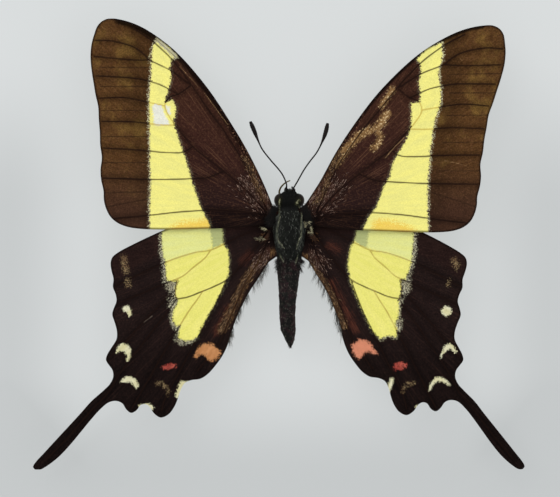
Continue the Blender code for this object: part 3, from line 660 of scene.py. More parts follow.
class Recipe:
    """Adds shader nodes with short calls."""

    def __init__(self, tree: bpy.types.NodeTree) -> None:
        """Keep the tree that the nodes go into."""
        self.tree = tree

    def add(self, kind: str, **settings) -> bpy.types.Node:
        """Add a node and set its own options."""
        node = self.tree.nodes.new(kind)
        for name, value in settings.items():
            setattr(node, name, value)
        return node

    def feed(self, socket: bpy.types.NodeSocket, value) -> None:
        """Link a socket to another one, or set its value."""
        if isinstance(value, bpy.types.NodeSocket):
            self.tree.links.new(value, socket)
        else:
            socket.default_value = value

    def maths(self, operation: str, *values, clamp: bool = False) -> bpy.types.NodeSocket:
        """Add a Math node and return what it gives."""
        node = self.add("ShaderNodeMath", operation=operation, use_clamp=clamp)
        for socket, value in zip(node.inputs, values):
            self.feed(socket, value)
        return node.outputs[0]

    def ease(self, value, low: float, high: float, start: float = 0.0, end: float = 1.0):
        """Return a smooth step from start, at low, to end, at high."""
        node = self.add("ShaderNodeMapRange", interpolation_type="SMOOTHSTEP")
        for socket, item in zip(node.inputs, (value, low, high, start, end)):
            self.feed(socket, item)
        return node.outputs[0]

    def blend(self, mask, below, above, mode: str = "MIX") -> bpy.types.NodeSocket:
        """Lay one colour over another by a mask."""
        node = self.add("ShaderNodeMix", data_type="RGBA", blend_type=mode)
        self.feed(node.inputs[0], mask)
        self.feed(node.inputs[6], below)
        self.feed(node.inputs[7], above)
        return node.outputs[2]

    def read(self, name: str, vector: bool = False) -> bpy.types.NodeSocket:
        """Read one of the mesh's own fields."""
        node = self.add("ShaderNodeAttribute", attribute_name=name)
        return node.outputs["Vector" if vector else "Fac"]

    def place(self, scale=(1.0, 1.0, 1.0), vector=None) -> bpy.types.NodeSocket:
        """Return Object coordinates, or another vector, stretched by a scale."""
        if vector is None:
            vector = self.add("ShaderNodeTexCoord").outputs["Object"]
        node = self.add("ShaderNodeMapping")
        self.feed(node.inputs["Vector"], vector)
        node.inputs["Scale"].default_value = scale
        return node.outputs[0]

    def grey(self, value) -> bpy.types.NodeSocket:
        """Turn a number into a grey colour."""
        node = self.add("ShaderNodeCombineColor")
        for socket in node.inputs[:3]:
            self.feed(socket, value)
        return node.outputs[0]

    def darken(self, colour, share) -> bpy.types.NodeSocket:
        """Multiply a colour by a number."""
        return self.blend(1.0, colour, self.grey(share), "MULTIPLY")

    def axis(self, vector, name: str) -> bpy.types.NodeSocket:
        """Return one axis of a vector."""
        node = self.add("ShaderNodeSeparateXYZ")
        self.feed(node.inputs[0], vector)
        return node.outputs[name]

    def noise(self, vector, scale: float, detail: float = 2.0) -> bpy.types.NodeSocket:
        """Return soft noise from 0 to 1."""
        node = self.add("ShaderNodeTexNoise")
        self.feed(node.inputs["Vector"], vector)
        node.inputs["Scale"].default_value = scale
        node.inputs["Detail"].default_value = detail
        return node.outputs["Fac"]

    def use(self, group: bpy.types.NodeTree, **values) -> bpy.types.Node:
        """Place a node group with its inputs, whose names are given in lower case."""
        node = self.add("ShaderNodeGroup", node_tree=group)
        for socket in node.inputs:
            key = socket.name.lower().replace(" ", "_")
            if key in values:
                self.feed(socket, values[key])
        return node


class Surface(Recipe):
    """A new material, with short calls for its shader."""

    def __init__(self, name: str, mirror: float) -> None:
        """Make the material and set how much its surface mirrors."""
        self.made = bpy.data.materials.new(name)
        self.made.use_nodes = True
        super().__init__(self.made.node_tree)
        self.shader = self.tree.nodes["Principled BSDF"]
        self.put("Specular IOR Level", mirror)

    def put(self, name: str, value) -> None:
        """Link or set one of the shader's inputs."""
        self.feed(self.shader.inputs[name], value)

    def emboss(self, height, strength: float, distance: float, invert: bool = False) -> None:
        """Raise the surface in the shading.

        Args:
            height: the raised pattern.
            strength: how strongly it shows.
            distance: how high 1 stands, in metres.
            invert: whether the pattern is sunk instead.
        """
        bump = self.add("ShaderNodeBump", invert=invert)
        bump.inputs["Strength"].default_value = strength
        bump.inputs["Distance"].default_value = distance
        self.feed(bump.inputs["Height"], height)
        self.put("Normal", bump.outputs["Normal"])


class Effects:
    """The shader node groups that several finishes share, each made once."""

    def __init__(self) -> None:
        """Make every group."""
        self.scales = self.make_scales()
        self.ragged = self.make_ragged()
        self.streaks = self.make_streaks()
        self.lines = self.make_lines()

    @staticmethod
    def start(name: str, inputs: dict, outputs) -> tuple:
        """Make an empty group with its sockets.

        Args:
            name: the group's name.
            inputs: each input's name and socket type.
            outputs: the outputs' names.

        Returns:
            The recipe, the inputs by name and the output node.
        """
        tree = bpy.data.node_groups.new(name, "ShaderNodeTree")
        for socket, kind in inputs.items():
            tree.interface.new_socket(name=socket, in_out="INPUT", socket_type=kind)
        for socket in outputs:
            tree.interface.new_socket(name=socket, in_out="OUTPUT", socket_type="NodeSocketFloat")
        recipe = Recipe(tree)
        entry = recipe.add("NodeGroupInput")
        leave = recipe.add("NodeGroupOutput")
        return recipe, entry.outputs, leave.inputs

    def make_scales(self) -> bpy.types.NodeTree:
        """Make rows of tiny overlapping scales, each with a chance of its own.

        Returns:
            A group from Lie, in millimetres, and Count a millimetre to Chance and Height.
        """
        recipe, given, out = self.start(
            "wing_scales", {"Lie": "NodeSocketVector", "Count": "NodeSocketFloat"},
            ("Chance", "Height"))
        squeezed = recipe.place((0.62, 1.0, 1.0), given["Lie"])
        cells = recipe.add("ShaderNodeTexVoronoi", voronoi_dimensions="2D")
        recipe.feed(cells.inputs["Vector"], squeezed)
        recipe.feed(cells.inputs["Scale"], given["Count"])
        cells.inputs["Randomness"].default_value = 0.7
        parted = recipe.add("ShaderNodeSeparateColor")
        recipe.feed(parted.inputs[0], cells.outputs["Color"])
        recipe.feed(out["Chance"], parted.outputs[0])
        dome = recipe.maths("SUBTRACT", 1.0, cells.outputs["Distance"])
        tilt = recipe.maths("MULTIPLY", parted.outputs[1], 0.6)
        recipe.feed(out["Height"], recipe.maths("ADD", dome, tilt))
        return recipe.tree

    def make_ragged(self) -> bpy.types.NodeTree:
        """Make an edge that breaks up scale by scale.

        Returns:
            A group from Depth, Wander, Chance, Reach, Soft and Cover to Mask.
        """
        names = ("Depth", "Wander", "Chance", "Reach", "Soft", "Cover")
        recipe, given, out = self.start(
            "ragged_edge", {name: "NodeSocketFloat" for name in names}, ("Mask",))
        swing = recipe.maths("MULTIPLY", recipe.maths("SUBTRACT", given["Wander"], 0.5), given["Reach"])
        depth = recipe.maths("DIVIDE", recipe.maths("ADD", given["Depth"], swing), given["Soft"])
        share = recipe.maths("ADD", depth, 0.5, clamp=True)
        share = recipe.maths("MULTIPLY", recipe.maths("MULTIPLY", share, given["Cover"]), 1.40)
        over = recipe.maths("SUBTRACT", recipe.maths("SUBTRACT", share, given["Chance"]), 0.02)
        recipe.feed(out["Mask"], recipe.maths("DIVIDE", over, 0.35, clamp=True))
        return recipe.tree

    def make_streaks(self) -> bpy.types.NodeTree:
        """Make long fine streaks that run along the lie of scales or hair.

        Returns:
            A group from Lie, in millimetres, to Broad, Fine, Strand and Long, each from 0 to 1.
        """
        recipe, given, out = self.start(
            "lie_streaks", {"Lie": "NodeSocketVector"}, ("Broad", "Fine", "Strand", "Long"))
        stretches = {"Broad": (0.25, 1.3), "Fine": (0.5, 6.0), "Strand": (0.4, 15.0),
                     "Long": (0.13, 7.0)}
        steps = {"Strand": (0.3, 0.7), "Long": (0.56, 0.70)}
        for name, (along, across) in stretches.items():
            detail = 3.0 if name == "Broad" else 2.0
            streak = recipe.noise(recipe.place((along, across, 1.0), given["Lie"]), 1.0, detail)
            if name in steps:
                streak = recipe.ease(streak, *steps[name])
            recipe.feed(out[name], streak)
        return recipe.tree

    def make_lines(self) -> bpy.types.NodeTree:
        """Make a soft line where a distance is small.

        Returns:
            A group from Away, Width and Wander to Mask.
        """
        names = ("Away", "Width", "Wander")
        recipe, given, out = self.start(
            "soft_line", {name: "NodeSocketFloat" for name in names}, ("Mask",))
        width = recipe.maths("MULTIPLY", given["Width"],
                           recipe.maths("ADD", recipe.maths("MULTIPLY", given["Wander"], 0.8), 0.6))
        share = recipe.maths("DIVIDE", given["Away"], width)
        recipe.feed(out["Mask"], recipe.ease(share, 0.35, 1.0, 1.0, 0.0))
        return recipe.tree


@dataclass(frozen=True)
class Grain:
    """The noise that one wing's finish draws on, as shader sockets from 0 to 1."""

    broad: bpy.types.NodeSocket
    fine: bpy.types.NodeSocket
    strand: bpy.types.NodeSocket
    drawn: bpy.types.NodeSocket
    wander: bpy.types.NodeSocket
    chance: bpy.types.NodeSocket
    grit: bpy.types.NodeSocket


@dataclass(frozen=True)
class Paint:
    """One area of coloured scales, or of painted light, laid over what is below it."""

    field: str
    shade: str
    other: str
    reach: float = 0.5
    soft: float = 0.35
    cover: float = 1.0
    within: str = ""
    offset: float = 0.0
    streaky: bool = False
    gritty: bool = False
    right_shade: str = ""
    above: bool = False


@dataclass(frozen=True)
class WingFinish:
    """What a wing's scales look like, layer by layer."""

    name: str
    inner: str
    inner_other: str
    outer: str
    outer_other: str
    corner: str
    paints: tuple
    rear: str = "281a19"
    inner_top: str = "38281a"
    glint: str = "765a2c"
    thread: str = "74503a"
    vein: str = "1a0e0a"
    vein_on_pale: str = "3a2c14"
    golden: str = "b8942e"
    pale_line: float = 0.6
    hem: float = 1.0
    spark: float = 0.16
    scrape: str = "a5825a"
    fold: str = "22160e"
    edge: str = "120b09"
    under: str = "8f7d5c"
    mirror: float = 0.02
    scales_to_mm: float = 14.0

    def material(self, effects: Effects) -> bpy.types.Material:
        """Build the wing's material.

        Args:
            effects: the shared node groups.

        Returns:
            The material.
        """
        recipe = Surface(self.name, self.mirror)
        lie = recipe.read("lie", vector=True)
        place = recipe.add("ShaderNodeTexCoord").outputs["Object"]
        scales = recipe.use(effects.scales, lie=lie, count=self.scales_to_mm)
        streaks = recipe.use(effects.streaks, lie=lie)
        grit = recipe.ease(recipe.noise(place, 3600.0, 2.0), 0.54, 0.66)
        grain = Grain(*(streaks.outputs[name] for name in ("Broad", "Fine", "Strand", "Long")),
                      recipe.noise(place, 2600.0, 3.0), scales.outputs["Chance"], grit)
        colour = self.coloured(recipe, effects, grain, self.ground(recipe, grain, place))
        near_root = recipe.ease(recipe.axis(lie, "X"), 0.8, 4.2, 0.30, 1.0)
        colour = recipe.darken(colour, near_root)
        under = recipe.blend(0.38, colour, dye(self.under))
        recipe.put("Base Color", recipe.blend(recipe.read("upper"), under, colour))
        recipe.put("Roughness", recipe.ease(streaks.outputs["Fine"], 0.2, 0.8, 0.55, 0.78))
        self.relief(recipe, scales, streaks)
        return recipe.made

    def ground(self, recipe: Recipe, grain: Grain,
               place: bpy.types.NodeSocket) -> bpy.types.NodeSocket:
        """Lay the ground colours inside and outside the band, and darken them in places.

        Args:
            recipe: the material's recipe.
            grain: the wing's noise.
            place: Object coordinates.

        Returns:
            The colour.
        """
        forward = recipe.axis(place, "Y")
        corner = recipe.ease(recipe.read("corner"), 0.0, 1.0)
        tint = recipe.ease(grain.fine, 0.3, 0.75)
        inner = recipe.blend(tint, dye(self.inner), dye(self.inner_other))
        top = recipe.ease(forward, 0.012, 0.024, 0.0, 0.75)
        inner = recipe.blend(top, inner, dye(self.inner_top))
        inner = recipe.blend(corner, inner, dye(self.rear))
        hem = recipe.ease(forward, 0.0040, 0.0064, self.hem, 1.0)
        inner = recipe.darken(inner, hem)
        thread = recipe.maths("MULTIPLY", grain.drawn, 0.40)
        inner = recipe.blend(thread, inner, dye(self.thread))
        tint = recipe.ease(grain.fine, 0.3, 0.7)
        outer = recipe.blend(tint, dye(self.outer), dye(self.outer_other))
        mottle = recipe.ease(recipe.noise(place, 300.0, 5.0), 0.48, 0.72, 0.0, 0.6)
        outer = recipe.blend(mottle, outer, dye(self.glint))
        outer = recipe.blend(corner, outer, dye(self.corner))
        outer = recipe.darken(outer, recipe.ease(recipe.read("beyond"), 3.5, 6.5, 0.74, 1.04))
        beyond = recipe.ease(recipe.maths("ADD", recipe.read("beyond"), grain.wander), 0.0, 1.0)
        colour = recipe.blend(beyond, inner, outer)
        spark = recipe.maths("MULTIPLY", recipe.maths("MULTIPLY", grain.grit, self.spark), hem)
        colour = recipe.blend(spark, colour, dye(self.thread))
        rib = recipe.maths("MINIMUM", recipe.read("vein"), recipe.read("pale_vein"))
        shares = {
            "front edge": recipe.ease(recipe.read("costal"), 0.5, 1.15, 0.16, 1.0),
            "tail": recipe.ease(forward, -0.022, -0.009, 0.55, 1.0),
            "single scale": recipe.ease(grain.chance, 0.0, 1.0, 0.72, 1.28),
            "along veins": recipe.ease(rib, 0.1, 1.1, 0.72, 1.07),
        }
        for share in shares.values():
            colour = recipe.darken(colour, share)
        return colour

    def coloured(self, recipe: Recipe, effects: Effects, grain: Grain,
                 colour: bpy.types.NodeSocket) -> bpy.types.NodeSocket:
        """Lay the painted areas and the dark lines over the ground colours.

        Args:
            recipe: the material's recipe.
            effects: the shared node groups.
            grain: the wing's noise.
            colour: the ground colours.

        Returns:
            The colour.
        """
        masks = {"outside": recipe.ease(recipe.read("outside"), -0.5, 0.5, 0.22, 1.0)}
        below = [paint for paint in self.paints if not paint.above]
        colour = self.painted(recipe, effects, grain, below, masks, colour)
        pale = masks["band"]
        broken = recipe.maths("MULTIPLY", recipe.ease(grain.broad, 0.36, 0.56),
                              recipe.ease(grain.grit, 0.0, 1.0, 0.4, 1.0))
        lines = (
            ("vein", 0.17, grain.broad, 0.85,
             recipe.blend(pale, dye(self.vein), dye(self.vein_on_pale))),
            ("pale_vein", 0.16, grain.broad, recipe.ease(pale, 0.0, 1.0, 0.85, self.pale_line),
             recipe.blend(pale, dye(self.vein), dye(self.golden))),
            ("fold", 0.15, grain.fine, 0.55, dye(self.fold)),
            ("scrape", 0.11, grain.fine, broken, dye(self.scrape)),
        )
        for name, width, wander, force, ink in lines:
            line = recipe.use(effects.lines, away=recipe.read(name), width=width, wander=wander)
            depth = recipe.maths("MULTIPLY", line.outputs["Mask"], force)
            colour = recipe.blend(depth, colour, ink)
        edge = recipe.ease(recipe.read("margin"), 0.10, 0.42, 0.75, 0.0)
        colour = recipe.blend(edge, colour, dye(self.edge))
        over = [paint for paint in self.paints if paint.above]
        return self.painted(recipe, effects, grain, over, masks, colour)

    @staticmethod
    def painted(recipe: Recipe, effects: Effects, grain: Grain, paints: list, masks: dict,
                colour: bpy.types.NodeSocket) -> bpy.types.NodeSocket:
        """Lay areas of coloured scales, and of painted light, over a colour.

        Args:
            recipe: the material's recipe.
            effects: the shared node groups.
            grain: the wing's noise.
            paints: the areas, from the lowest to the highest.
            masks: each area's mask by its field, which this adds to.
            colour: what lies below.

        Returns:
            The colour with the areas laid over it.
        """
        for paint in paints:
            depth = recipe.maths("ADD", recipe.read(paint.field), paint.offset)
            chance = grain.strand if paint.streaky else grain.chance
            mask = recipe.use(effects.ragged, depth=depth, wander=grain.wander, chance=chance,
                              reach=paint.reach, soft=paint.soft,
                              cover=paint.cover).outputs["Mask"]
            if paint.gritty:
                mask = recipe.maths("MULTIPLY", mask, grain.grit)
            if paint.within:
                mask = recipe.maths("MULTIPLY", mask, masks[paint.within])
            masks[paint.field] = mask
            tint = recipe.ease(grain.broad, 0.3, 0.7)
            shade = recipe.blend(tint, dye(paint.shade), dye(paint.other))
            if paint.right_shade:
                shade = recipe.blend(recipe.read("right"), shade, dye(paint.right_shade))
            speck = recipe.ease(grain.chance, 0.0, 1.0, 0.90, 1.05)
            colour = recipe.blend(mask, colour, recipe.darken(shade, speck))
        return colour

    @staticmethod
    def relief(recipe: Surface, scales: bpy.types.Node, streaks: bpy.types.Node) -> None:
        """Raise scales, streaks, veins and folds in the shading.

        Args:
            recipe: the material's recipe.
            scales: the placed scale group.
            streaks: the placed streak group.
        """
        small = recipe.maths("MULTIPLY", scales.outputs["Height"], 0.010)
        lines = recipe.maths("MULTIPLY", streaks.outputs["Fine"], 0.030)
        vein = recipe.ease(recipe.read("vein"), 0.03, 0.24, 0.055, 0.0)
        fold = recipe.ease(recipe.read("fold"), 0.0, 0.20, -0.030, 0.0)
        height = recipe.maths("ADD", recipe.maths("ADD", small, lines), recipe.maths("ADD", vein, fold))
        recipe.emboss(height, 0.55, MM)


FORE_FINISH = WingFinish(
    name="forewing_scales", inner="351e18", inner_other="2a1713", outer="51371d",
    outer_other="462d17", corner="3a251a", rear="211413", inner_top="3b2319", hem=0.42,
    paints=(
        Paint("hair", "7a4e38", "5e3a2b", reach=1.6, soft=1.2, cover=0.34, streaky=True),
        Paint("hair", "bd9276", "9a6c50", reach=1.6, soft=1.8, cover=0.58, gritty=True),
        Paint("worn", "8e6c44", "6f5232", reach=1.0, soft=0.8, cover=0.78, streaky=True),
        Paint("worn", "dec498", "bd9863", reach=1.0, soft=0.8, cover=0.92, gritty=True),
        Paint("band", "cfc8a2", "aea684", reach=0.5, soft=0.75, cover=0.74, offset=0.26,
              within="outside"),
        Paint("band", "f1e883", "e7e084", reach=0.6, soft=0.42),
        Paint("white", "e8e6d8", "dcdccc", reach=0.25, soft=0.40, cover=0.92, within="band"),
        Paint("smear", "cdc8a6", "b3ac8c", reach=0.4, soft=0.45, cover=0.85, streaky=True),
        # Painted light: the band is more orange where the hindwing's yellow shows through it from
        # beneath
        Paint("under", "eecb56", "ecc85e", reach=0.4, soft=1.3, cover=0.85, within="band"),
    ))
HIND_FINISH = WingFinish(
    name="hindwing_scales", inner="1f1513", inner_other="19100f", outer="2a1b18",
    outer_other="221513", corner="1f1513", glint="33221d", thread="3c2822", scrape="8a7a6c",
    spark=0.22, golden="96742c",
    paints=(
        Paint("rust", "5e3226", "48281e", reach=1.0, soft=1.3, cover=0.52, streaky=True),
        Paint("hair", "84603b", "5a3f2a", reach=0.9, soft=0.9, cover=0.66, streaky=True),
        Paint("hair", "b8946a", "94704a", reach=0.9, soft=1.1, cover=0.50, gritty=True),
        Paint("dots", "cbc6aa", "a39c80", reach=0.5, soft=0.7, cover=0.50),
        Paint("band", "cdc7a0", "a8a280", reach=0.7, soft=0.75, cover=0.68, offset=0.25,
              within="outside"),
        Paint("band", "e9e17d", "e3dd72", reach=0.6, soft=0.45),
        Paint("pale_top", "dedf90", "e0df88", reach=0.3, soft=0.6, within="band"),
        Paint("patch", "b3b87c", "a9ae74", reach=0.4, soft=0.5, within="band"),
        Paint("tornal", "cb9060", "aa7042", reach=0.8, soft=0.6, cover=0.90,
              right_shade="d08567", above=True),
        Paint("red", "b5584a", "9c3f36", reach=0.5, soft=0.5, cover=0.70, above=True),
        Paint("lunule", "dcd8b8", "cfc898", reach=0.34, soft=0.42, cover=0.90, offset=-0.01,
              above=True),
        Paint("faint", "94805c", "70583e", reach=0.35, soft=0.8, cover=0.55, above=True),
    ))


def blade_height(x: np.ndarray, y: np.ndarray) -> np.ndarray:
    """Return how far a wing's middle surface lies above its root's height."""
    out = np.abs(x - MIDLINE)
    arch = BLADE_ARCH * (1.0 - ((out - ARCH_REACH / 2.0) / (ARCH_REACH / 2.0)) ** 2)
    droop = TAIL_DROOP * np.minimum(0.0, y - DROOP_START) ** 2
    return BLADE_RISE * out + arch - droop


@dataclass
class Wing:
    """One membrane: two thin faces with veins raised on both, and its coloured scales."""

    layer: Layer
    side: Side
    cell: float = 0.17
    half_thick: float = 0.07
    vein_rise: float = 0.075
    vein_width: float = 0.14
    pleat: float = 0.06
    pleat_reach: float = 1.3
    rim_thin: float = 0.05
    rim_width: float = 0.25
    root_out: float = 1.1
    inset: float = 0.12
    reach: float = 33.88

    @property
    def name(self) -> str:
        """Return the name of the solid that this wing stands for."""
        return f"{self.layer.value}_{self.side.word}"

    @property
    def lift(self) -> float:
        """Return the height of the wing's root: the lower sheet high in its solid, the upper low."""
        if self.layer is Layer.FORE:
            return FORE_HEIGHT - self.inset
        return HIND_HEIGHT + self.inset

    def spread(self, points) -> np.ndarray:
        """Put points of the left wing's plan where they lie on this wing, in the world."""
        given = np.atleast_2d(np.array(points, float))
        out, forward = given.T
        if self.side is Side.RIGHT:
            u, v = given.T / SPREAD_UNIT
            terms = np.array((np.ones_like(u), u, v, u * u, u * v, v * v))
            rules = RIGHT_FORE if self.layer is Layer.FORE else RIGHT_HIND
            out, forward = np.array(rules) @ terms
        return np.column_stack((MIDLINE + self.side.value * out, forward))

    def seen(self, points) -> np.ndarray:
        """Put points that are given for this side itself in the world."""
        out, forward = np.atleast_2d(np.array(points, float)).T
        return np.column_stack((MIDLINE + self.side.value * out, forward))

    def all_seen(self, lines) -> list:
        """Put several lines that are given for this side itself in the world."""
        return [self.seen(line) for line in lines]

    def outline(self) -> np.ndarray:
        """Return the wing's edge, closed by a root that is sunk in the thorax."""
        if self.layer is Layer.FORE:
            rim = COSTA + APEX + FORE_MARGIN + FORE_CORNER + FORE_REAR
            root = ((self.root_out, 3.3), (self.root_out, 5.2))
            if self.side is Side.RIGHT:
                line = np.vstack((self.seen(RIGHT_COSTA_ROOT), self.spread(rim[2:])))
                return np.vstack((smooth_line(line, 0.35), self.seen(root)))
        else:
            rim = (HIND_FRONT + HIND_MARGIN + TAIL_OUTER + TAIL_TIP + TAIL_INNER + HIND_LOBES
                   + HIND_INNER)
            root = ((self.root_out, -1.2), (self.root_out, 4.0))
        return np.vstack((smooth_line(self.spread(rim), 0.35), self.seen(root)))

    def veins(self, pale: bool) -> list:
        """Return the veins' lines, those that show as dark or those that show as pale."""
        fore = self.layer is Layer.FORE
        chosen = []
        for name, line in (FORE_VEINS if fore else HIND_VEINS).items():
            faint = name in PALE_VEINS and not (fore and name in FORE_DARK_VEINS)
            if faint == pale and name != PLAIN_VEIN:
                chosen.append(smooth_line(self.spread(line), 0.4))
        return chosen

    def sheet(self, edge: np.ndarray) -> bmesh.types.BMesh:
        """Cut the wing's plan out of an even grid and draw its border onto the edge.

        Args:
            edge: the wing's closed outline in the world.

        Returns:
            The plan, doubled: the upper face at height 0 and the lower face at -1.
        """
        low = edge.min(axis=0) - self.cell
        high = edge.max(axis=0) + self.cell
        columns, rows = (int(round(n)) for n in (high - low) / self.cell)
        shape = bmesh.new()
        bmesh.ops.create_grid(shape, x_segments=columns, y_segments=rows, size=1.0)
        half = (high - low) / 2.0
        bmesh.ops.scale(shape, vec=(half[0], half[1], 1.0), verts=shape.verts)
        bmesh.ops.translate(shape, vec=(*(low + half), 0.0), verts=shape.verts)
        centres = np.array([face.calc_center_median().xy for face in shape.faces])
        within = lies_inside(centres, edge)
        spare = [face for face, keep in zip(shape.faces, within) if not keep]
        bmesh.ops.delete(shape, geom=spare, context="FACES")
        border = [vert for vert in shape.verts if vert.is_boundary]
        _, places = nearest_on_line(np.array([v.co.xy for v in border]), edge, closed=True)
        for vert, (x, y) in zip(border, places):
            vert.co.x = x
            vert.co.y = y
        ring = set(border)
        for _ in range(2):
            ring |= {edge_.other_vert(v) for v in ring for edge_ in v.link_edges}
        inner = list(ring - set(border))
        for _ in range(3):
            bmesh.ops.smooth_vert(shape, verts=inner, factor=0.5, use_axis_x=True,
                                  use_axis_y=True)
        grown = bmesh.ops.extrude_face_region(shape, geom=shape.faces[:], use_keep_orig=True)
        lower = [item for item in grown["geom"] if isinstance(item, bmesh.types.BMVert)]
        bmesh.ops.translate(shape, vec=(0.0, 0.0, -1.0), verts=lower)
        return shape

    def build(self, finishes: dict) -> bpy.types.Object:
        """Build the wing and dress it.

        Args:
            finishes: each layer's material.

        Returns:
            The wing's piece.
        """
        edge = self.outline()
        mesh = mesh_from(self.sheet(edge), self.name, 70.0)
        points = read_points(mesh)
        plan = points[:, :2]
        upper = points[:, 2] > -0.5
        dark = nearest_of(plan, self.veins(pale=False))
        pale = nearest_of(plan, self.veins(pale=True))
        vein = np.minimum(dark, pale)
        if self.layer is Layer.HIND:
            plain = smooth_line(self.spread(HIND_VEINS[PLAIN_VEIN]), 0.4)
            vein = np.minimum(vein, nearest_on_line(plan, plain)[0])
        margin, _ = nearest_on_line(plan, edge, closed=True)
        rise = self.vein_rise * np.exp(-(vein / self.vein_width) ** 2)
        sag = self.pleat * np.clip(vein / self.pleat_reach, 0.0, 1.0) ** 1.5
        rim = self.rim_thin * np.clip(1.0 - margin / self.rim_width, 0.0, 1.0)
        middle = self.lift + blade_height(*plan.T) - sag
        half = self.half_thick + rise - rim
        points[:, 2] = np.where(upper, middle + half, middle - half)
        points[:, 1] = np.clip(points[:, 1], -self.reach, self.reach)
        mesh.vertices.foreach_set("co", points.astype(np.float32).ravel())
        write_field(mesh, "upper", upper.astype(float))
        write_field(mesh, "vein", dark)
        write_field(mesh, "pale_vein", pale)
        write_field(mesh, "margin", margin)
        write_field(mesh, "right", np.full(len(plan), float(self.side is Side.RIGHT)))
        for name, values in self.fields(plan).items():
            write_field(mesh, name, values)
        piece = new_object(f"skin_{self.name}", mesh, finishes[self.layer])
        nodes = [self.name]
        if self.layer is Layer.HIND:
            nodes.append(f"tail_{self.side.word}")
        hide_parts(*nodes)
        return piece

    def fields(self, plan: np.ndarray) -> dict:
        """Measure every marking's field at the wing's points.

        Args:
            plan: rows of X and Y.

        Returns:
            Each field's values by name.
        """
        out = (plan[:, 0] - MIDLINE) * self.side.value
        forward = plan[:, 1]
        marks = MARKINGS[self.side]
        root = np.array((2.3, 4.6 if self.layer is Layer.FORE else 2.0))
        run = np.column_stack((out, forward)) - root
        radius = np.hypot(*run.T)
        turn = np.arctan2(run[:, 1], run[:, 0])
        found = {"lie": np.column_stack((radius, turn * LIE_TURN, np.zeros(len(plan)))),
                 "scrape": nearest_of(plan, self.all_seen(marks.scrapes))}
        if self.layer is Layer.FORE:
            self.add_fore_fields(found, plan, out)
            found["hair"] = 1.6 - found["costal"] - radius * 0.09
            if self.side is Side.RIGHT:
                found["costal"] = found["costal"] * 1.8
        else:
            self.add_hind_fields(found, plan, out)
        return found

    def add_fore_fields(self, found: dict, plan: np.ndarray, out: np.ndarray) -> None:
        """Measure the markings of a forewing.

        Args:
            found: each field's values by name, which this adds to.
            plan: rows of X and Y.
            out: the distances out from the midline.
        """
        marks = MARKINGS[self.side]
        forward = plan[:, 1]
        centre = np.interp(forward, (2.0, 9.0, 15.0, 22.0, 27.0, 31.0, 34.0),
                           (16.3, 17.6, 18.6, 19.3, 19.2, 19.4, 21.0))
        if self.side is Side.RIGHT:
            centre = centre + 1.3
        found["beyond"] = out - centre
        found["outside"] = found["beyond"]
        found["corner"] = np.clip((15.0 - forward) / 11.0, 0.0, 1.0)
        found["band"] = depth_inside(plan, self.seen(marks.fore_band))
        # Where painted light shows through the forewing from the hindwing's yellow beneath it
        found["under"] = depth_inside(plan, self.seen(marks.under))
        found["white"] = deepest(plan, self.all_seen(marks.white))
        worn = self.all_seen(marks.worn)
        found["worn"] = np.maximum(0.62 - nearest_of(plan, worn[:1]),
                                   0.46 - nearest_of(plan, worn[1:]))
        found["smear"] = deepest(plan, self.all_seen(marks.smear))
        costa = self.spread(COSTA)
        if self.side is Side.RIGHT:
            costa = np.vstack((self.seen(RIGHT_COSTA_ROOT), costa[2:]))
        found["costal"], _ = nearest_on_line(plan, smooth_line(costa, 0.5))
        found["fold"] = nearest_of(plan, self.all_seen(marks.folds))

    def add_hind_fields(self, found: dict, plan: np.ndarray, out: np.ndarray) -> None:
        """Measure the markings of a hindwing.

        Args:
            found: each field's values by name, which this adds to.
            plan: rows of X and Y.
            out: the distances out from the midline.
        """
        marks = MARKINGS[self.side]
        front = smooth_line(self.spread(HIND_FRONT), 0.5)
        found["costal"] = np.full(len(plan), FAR)
        found["beyond"] = 3.2 - nearest_on_line(plan, front)[0]
        found["outside"] = out - np.interp(plan[:, 1], (-15.0, -12.0, -8.0, 0.0),
                                           (12.9, 14.2, 15.0, 14.6))
        found["corner"] = np.zeros(len(plan))
        loops = {"band": marks.hind_band, "pale_top": marks.pale_top, "patch": marks.patch,
                 "tornal": marks.tornal, "red": marks.red}
        for name, loop in loops.items():
            found[name] = depth_inside(plan, self.seen(loop))
        for name, group in (("dots", marks.dots), ("lunule", marks.lunules),
                            ("faint", marks.faint)):
            found[name] = deepest(plan, self.all_seen(group))
        line = smooth_line(self.seen(marks.hair), 0.5)
        found["hair"] = 0.54 - nearest_on_line(plan, line)[0]
        found["rust"] = 0.62 - nearest_of(plan, self.all_seen(marks.rust))
        found["fold"] = np.full(len(plan), FAR)


